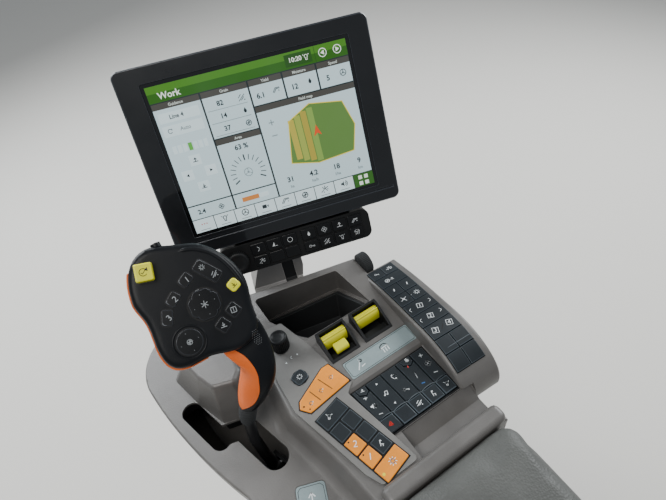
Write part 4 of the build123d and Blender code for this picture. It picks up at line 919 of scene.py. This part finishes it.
# Painted highlights: pale beads along the upper edges of the keys, standing in for the light reflected in
# their chamfers
key_highlight_grey = ink("key_highlight_grey", (0.115, 0.122, 0.130))
key_drop = dropper([head_keys], -0.00022)
for (x, y, width, height, turn, corner), side in zip((*NUMBER_KEYS, TALL_KEY), (-1, -1, -1, 1)):
    edge_x = width / 2 - 0.9
    edge_y = height / 2 - 0.9
    edge_line = [(side * edge_x, 1.2 - edge_y)]
    edge_line += [(side * (edge_x - 2 + px), edge_y - 2 + py) for px, py in arc_points(0, 0, 2, 0, 90, 6)]
    edge_line.append((side * (2 - edge_x), edge_y))
    spots = [(a[0] + (b[0] - a[0]) * t / 4, a[1] + (b[1] - a[1]) * t / 4)
             for a, b in zip(edge_line, edge_line[1:]) for t in range(4)]
    spots = [key_drop(on_lever(x, y, 0, turn), px * MM, py * MM) for px, py in spots]
    beaded("painted_highlight_edge", spots, 0.0004, False, "lever", "black_plastic", key_highlight_grey)
# Textured thumb pads on the right flank: middle, half width and half height of each, in rows of studs
STUD_PITCH = 1.8
pads = []
for middle_x, middle_y, wide, tall in ((31.5, -54.5, 4.6, 8.0), (42, -39.5, 3.2, 4.6)):
    for row in range(-6, 7):
        for column in range(-4, 5):
            x = (column + 0.5 * (row % 2)) * STUD_PITCH
            y = row * STUD_PITCH
            if (x / wide) ** 2 + (y / tall) ** 2 < 1:
                pads.append((on_lever(middle_x + x, middle_y + y), [arc_points(0, 0, 0.00036, 0, 300, 5)]))
pad_grey = ink("pad_grey", (0.21, 0.22, 0.23))
printed("thumb_pads", pads, [shell], "lever", "black_plastic", pad_grey, 0.0002)
# A soft ring round the lower round key, and the raised fold inside the face's upper right edge
ring_drop = dropper([shell], -0.0008)
ring = [ring_drop(on_lever(-21, -27.5), x, y) for x, y in arc_points(0, 0, 14.2 * MM, 0, 348, 30)]
beaded("pad_ring", ring, 0.0013, True, "lever", "black_plastic", shell_black)
fold_drop = dropper([shell], -0.0019)
FOLD = [(-2, 47), (8, 46.5), (18, 43.5), (28, 36), (34.5, 27), (39, 16), (41.5, 4), (42, -8), (40, -20)]
fold = [fold_drop(on_lever(0, 0), x * MM, y * MM) for x, y in smooth_line(FOLD)]
beaded("face_fold", fold, 0.0028, False, "lever", "black_plastic", shell_black)


# Display: a shallow magnesium frame, painted near-black, its rounded edges a bright painted highlight,
# round a gloss touch glass, its lit area set in from the frame. What it shows is a plain working page.
DISPLAY_AT = Vector((90, 485, 368)) * MM
DISPLAY_RIGHT = Vector((0.96126, -0.27564, 0)).normalized()
DISPLAY_OUT = Vector((-0.2492, -0.8691, 0.4274)).normalized()
DISPLAY_PLACE = axes_at(DISPLAY_AT, DISPLAY_RIGHT, DISPLAY_OUT.cross(DISPLAY_RIGHT), DISPLAY_OUT)
# Painted highlight: every rounded edge of the frame is painted eleven times paler, standing in for the
# reflection along its top edge
frame_paint = grained("frame_paint", (0.0060, 0.0068, 0.0082), 0.30, 0.0012, 0.00002, 0.9, 11.0,
                      Coat_Weight=0.6)
touch_glass = grained("touch_glass", (0.004, 0.0045, 0.005), 0.10, 0.0200, 0.0, 0.3, Coat_Weight=0.6)
moulded("display_frame", frame_paint, 0.0024, 4)
moulded("display_back", black_abs, 0.0015)
moulded("display_glass", touch_glass, 0.0003, 1)
PAGE_DEPTH = 0.00048
LAYER = 0.000004


class Page:
    # A picture made of flat coloured patches in the display's plane, later layers over earlier ones
    def __init__(self):
        self.patches = []
        self.colours = []
        self.layers = 0

    def lay(self, outlines, colour, x=0, y=0):
        self.layers += 1
        height = self.layers * LAYER - PAGE_DEPTH
        for outline in outlines:
            spots = [Vector(((x + u) * MM, (y + v) * MM, height)) for u, v in outline]
            self.patches.append([DISPLAY_PLACE @ spot for spot in spots])
            self.colours.append(colour)

    def box(self, x0, x1, y0, y1, colour):
        self.lay([[(x0, y0), (x1, y0), (x1, y1), (x0, y1)]], colour)

    def write(self, x, y, text, size, colour):
        self.lay(text_outlines(text, size, 0.022 * size), colour, x, y)

    def sign(self, name, x, y, size, colour, width=0.6):
        self.lay(symbol_outlines(SYMBOLS[name], size, width), colour, x, y)

    def made(self, name, material):
        mesh = mesh_of(name, self.patches)
        tint = mesh.color_attributes.new("tint", "FLOAT_COLOR", "CORNER")
        for face, colour in zip(mesh.polygons, self.colours):
            for corner in face.loop_indices:
                tint.data[corner].color = (*colour, 1)
        return add_piece(name, mesh, "display", "screen", material)


lit = Paint("lit_page", Roughness=0.25)
tint = lit.node("ShaderNodeVertexColor", {"layer_name": "tint"}, {})
smear = lit.noise(14, 3)
lit.shader.inputs["Emission Strength"].default_value = 0.42
lit.give("Base Color", lit.blend((smear - 0.4) * 0.15, tint, (0.30, 0.33, 0.34)))
lit.give("Emission Color", tint)
lit.give("Roughness", (0.22 + (smear - 0.5) * 0.3).clipped())

PALE = (0.50, 0.64, 0.68)
PALER = (0.60, 0.73, 0.76)
GREEN = (0.026, 0.108, 0.010)
GREEN_LIGHT = (0.058, 0.190, 0.018)
STRIP_DARK = (0.060, 0.058, 0.052)
GAP = (0.020, 0.028, 0.030)
TEXT_DARK = (0.016, 0.024, 0.028)
TEXT_GREY = (0.20, 0.26, 0.28)
CLOCK_GREEN = (0.020, 0.075, 0.012)
HEADER_TEXT = (0.75, 0.85, 0.75)
HEADER_SIGN = (0.8, 0.85, 0.8)
PAGE_X = 105.5
PAGE_FOOT = -77.2
PAGE_TOP = 81.2
page = Page()
page.box(-PAGE_X, PAGE_X, PAGE_FOOT, PAGE_TOP, GAP)
page.box(-PAGE_X, PAGE_X, 65, PAGE_TOP, GREEN)
page.box(-PAGE_X, PAGE_X, 74, PAGE_TOP, GREEN_LIGHT)
page.write(-84, 70.5, "Work", 9, HEADER_TEXT)
page.box(38, 67, 67, 79, CLOCK_GREEN)
page.write(49, 73, "10:20", 6.5, (0.75, 0.8, 0.75))
page.sign("light", 61, 73, 8, HEADER_SIGN)
page.box(70.3, 70.8, 65, PAGE_TOP, (0.02, 0.07, 0.012))
for name, x in (("left", 79), ("right", 95)):
    page.sign(name, x, 73, 8, HEADER_SIGN)
    page.sign("ring", x, 73, 11, HEADER_SIGN, 0.8)
# Tiles: left, right, bottom, top, title; each has a dark strip with its title along its top
TILES = [
    (-PAGE_X, -56, -46, 64, "Guidance"), (-55, -6, 16, 64, "Grain"), (-55, -6, -46, 15, "Area"),
    (-5, 31, 38, 64, "Yield"), (32, 68, 38, 64, "Moisture"), (69, PAGE_X, 38, 64, "Speed"),
    (-5, PAGE_X, -62, 37, "Field map"), (-PAGE_X, -56, -62, -47, ""), (-55, -6, -62, -47, "")]
for x0, x1, y0, y1, title in TILES:
    page.box(x0 + 0.4, x1 - 0.4, y0 + 0.3, y1, PALE)
    if title:
        page.box(x0 + 0.4, x1 - 0.4, y1 - 6, y1, STRIP_DARK)
        page.write((x0 + x1) / 2, y1 - 3, title, 4, (0.50, 0.55, 0.52))
# Guidance tile: two settings and a steering bar
page.box(-102, -60, 44, 54, PALER)
page.write(-84, 49, "Line 4", 6, TEXT_DARK)
page.box(-102, -60, 30, 41, PALER)
page.sign("turn", -95, 35.5, 7, TEXT_GREY, 0.8)
page.write(-79, 35.5, "Auto", 5.5, TEXT_GREY)
for i in range(7):
    page.box(-99 + i * 5.5, -95 + i * 5.5, 12, 20, PALER if i != 3 else (0.10, 0.36, 0.06))
for name, x, y in (("lift", -80.5, 1), ("left", -93, -13), ("right", -68, -13), ("lower", -80.5, -28)):
    page.box(x - 6, x + 6, y - 5.5, y + 5.5, PALER)
    page.sign(name, x, y, 6, TEXT_DARK, 0.8)
# Grain tile: three bars; area tile: a ring gauge with ticks
for i, (value, sign) in enumerate((("82", "auger"), ("14", "drop"), ("37", "reel"))):
    y = 50 - i * 13
    page.write(-38, y, value, 7, TEXT_DARK)
    page.sign(sign, -15, y, 8, TEXT_DARK, 0.6)
    page.box(-52, -10, y - 6, y - 5.5, TEXT_GREY)
page.write(-30, 2, "63 %", 7.5, TEXT_DARK)
for i in range(15):
    angle = math.radians(210 - i * 17)
    ux, uy = math.cos(angle), math.sin(angle)
    tick = [(-30.5 + reach * ux, -26 + reach * uy) for reach in (14, 19)]
    page.lay(line_outlines(tick, 0.7 if i % 7 else 1.3), TEXT_DARK)
page.sign("wheel", -30.5, -26, 11, TEXT_GREY, 0.6)
for x, value, sign in ((13, "6.1", "pipe"), (50, "12", "drop"), (87, "5", "wheel")):
    page.write(x - 8, 47, value, 7.5, TEXT_DARK)
    page.sign(sign, x + 9, 49, 8, TEXT_DARK, 0.6)
# Field map: worked swaths, an outline, the rows still standing and the machine's place as an arrow
FIELD = [(18, -30), (26, 14), (52, 27), (88, 21), (97, -6), (90, -34), (48, -37)]
SWATHS = [(-28, 15, (0.42, 0.36, 0.06)), (-31, 18, (0.30, 0.36, 0.07)), (-33, 21, (0.36, 0.30, 0.05)),
          (-35, 23, (0.20, 0.33, 0.07))]
page.lay([FIELD], (0.10, 0.20, 0.05))
for i, (low, high, colour) in enumerate(SWATHS):
    x = 25 + i * 7.5
    page.box(x, x + 6.6, low, high, colour)
page.lay(line_outlines(FIELD + FIELD[:1], 0.9), (0.70, 0.56, 0.05))
page.lay([[(54, 4), (58.5, -8), (54, -5), (49.5, -8)]], (0.65, 0.08, 0.02))
page.sign("plus", 8, 18, 7, TEXT_GREY, 1.0)
page.sign("minus", 8, 4, 7, TEXT_GREY, 1.0)
for i, (value, unit) in enumerate((("31", "ha"), ("4.2", "ha/h"), ("18", "l/ha"), ("9", "km"))):
    x = 12 + i * 27
    page.write(x, -47, value, 8, TEXT_DARK)
    page.write(x, -55, unit, 4.5, TEXT_GREY)
page.write(-92, -54.5, "2.4", 7, TEXT_DARK)
page.sign("fan", -70, -54.5, 7, TEXT_DARK, 0.6)
page.box(-46, -16, -57, -52, PALER)
page.box(-46, -27, -57, -52, (0.55, 0.20, 0.05))
# Button row along the bottom, with one coloured button at its end
BUTTONS = ["dots", "light", "wheel", "camera", "pipe", "reel", "spray", "sound"]
BUTTON_PITCH = 23.4
for i, name in enumerate(BUTTONS):
    x = i * BUTTON_PITCH - PAGE_X
    page.box(x + 0.4, x + 23, PAGE_FOOT, -62.5, PALER)
    page.sign(name, x + 11.7, -68.5, 9, TEXT_DARK if i else (0.45, 0.05, 0.03), 0.8)
    page.box(x + 6, x + 17, -75.4, -74.6, TEXT_GREY)
page.box(82.1, PAGE_X, PAGE_FOOT, -62.5, GREEN)
for x in (90, 97):
    for y in (-73.5, -66.5):
        page.box(x - 2.2, x + 2.2, y - 2.2, y + 2.2, (0.75, 0.82, 0.75))
page.made("screen_page", lit.material)


# Key bar under the display: a black moulding with two groups of low gloss keys, a dial at its
# left end, white symbols, and the steel knuckle that tilts the display.
bar_black = grained("bar_black", (0.0066, 0.0068, 0.0070), 0.42, 0.0009, 0.00003, 0.8)
bar_gloss = grained("bar_gloss", (0.0050, 0.0052, 0.0056), 0.30, 0.0012, 0.00001, 0.6)
moulded("key_bar", bar_black, 0.0010, 3)
bar_keys = moulded("key_bar_keys", bar_gloss, 0.0004)
moulded("tilt_knuckle", painted_steel, 0.0008)
moulded("tilt_pin", pin_zinc, 0.0004)
BAR_Y = -123
BAR_PITCH = 19
BAR_ROW = 15.5
DIAL = [(12.0, 0, 0), (12.4, 0.5, 1), (12.4, 7.2, 1), (12.1, 8.0, 0), (11.2, 8.8, 0), (10.0, 9.0, 0),
        (8.6, 9.0, 0), (8.0, 8.5, 0), (4.0, 8.2, 0), (0.6, 8.2, 0)]
dial = add_piece("ribbed_dial", turned(DIAL, 192, 32, 0.6), "display", "black_plastic", knob_black)
dial.data.transform(DISPLAY_PLACE @ placed(-72, BAR_Y, -2))
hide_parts("key_bar_dial")


def on_bar(column, row):
    # A key of the bar, the columns counted through both groups and the rows from the top
    left, first = (-55, 0) if column < 3 else (6, 3)
    x = left + (column - first + 0.5) * BAR_PITCH
    return DISPLAY_PLACE @ placed(x, BAR_Y + (0.5 - row) * BAR_ROW, -1)


BAR_SIGNS = [["shut", "cone", "ring", "drop", "fan", "lift", "pipe"],
             ["spray", None, None, "key", "auger", "light", "rain"]]
bar_rows = [(name, 0.95, column, row) for row, names in enumerate(BAR_SIGNS)
            for column, name in enumerate(names) if name]
printed("bar_symbols", symbols(on_bar, bar_rows, 8.2, 0.52), [bar_keys], "display", "label_blue", white_ink)


# Neck strip: a ribbed cover moulded in black plastic, which hides the display's lead. It is
# clipped into the front of the neck.
moulded("neck_strip", black_abs, 0.0006)


# Armrest: moulded foam on a plastic lid, drawn over with grained vinyl and sewn along its lower
# edge, where a welt runs round it. It lifts on a hinge at the rear.
pad_vinyl = grained("pad_vinyl", (0.084, 0.086, 0.081), 0.46, 0.0021, 0.00034, 0.3)
moulded("armrest_lid", black_abs, 0.0010)
low, high = (Vector(corner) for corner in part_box("armrest_pad"))
middle = (low + high) / 2
pad = set_out("vinyl_pad", cad_mesh("armrest_pad"))
for vertex in pad.data.vertices:
    vertex.co = middle + Vector(a * b for a, b in zip(vertex.co - middle, (0.985, 0.993, 0.965)))
applied(modified(pad, "REMESH", mode="VOXEL", voxel_size=0.005))
# The vinyl swells over the foam by air pressure from inside, held where it is sewn near its foot
SEWN_SHARE = 0.3
SWELL = 0.0022
SLACK = 0.001
sewn = pad.vertex_groups.new(name="sewn")
for vertex in pad.data.vertices:
    if (vertex.co.z - low.z) / (high.z - low.z) < SEWN_SHARE:
        sewn.add([vertex.index], 1.0, "REPLACE")
start = [vertex.co.copy() for vertex in pad.data.vertices]
cloth = pad.modifiers.new("cloth", "CLOTH")
tuned(cloth.settings, quality=6, mass=0.35, tension_stiffness=18, compression_stiffness=18,
      bending_stiffness=4, use_pressure=True, uniform_pressure_force=4, vertex_group_mass="sewn")
cloth.settings.effector_weights.gravity = 0
for step in range(1, 21):
    bpy.context.scene.frame_set(step)
swollen = worked_mesh(pad)
pad.modifiers.clear()
bpy.context.scene.frame_set(1)
for vertex, at, moved in zip(pad.data.vertices, start, swollen.vertices):
    shift = moved.co - at
    if shift.length > SWELL:
        shift *= SWELL / shift.length
    vertex.co = Vector(min(max(a, b - SLACK), c + SLACK) for a, b, c in zip(at + shift, low, high))
applied(modified(pad, "SUBSURF", levels=1, render_levels=1))
smoothed(pad.data)
dressed(pad, "armrest", "pad_vinyl", pad_vinyl)
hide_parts("armrest_pad")
# Welt round the pad's lower edge, through its four corners
WELT_RADIUS = 15.2
WELT_Z = 167.5
welt = []
for x, y, start_angle in ((131, 147, 0), (18, 147, 90), (18, -124, 180), (131, -124, 270)):
    welt += arc_points(x, y, WELT_RADIUS, start_angle, start_angle + 90, 8)
welt = [(x * MM, y * MM, WELT_Z * MM) for x, y in welt]
beaded("vinyl_welt", welt, 0.0014, True, "armrest", "pad_vinyl", pad_vinyl)
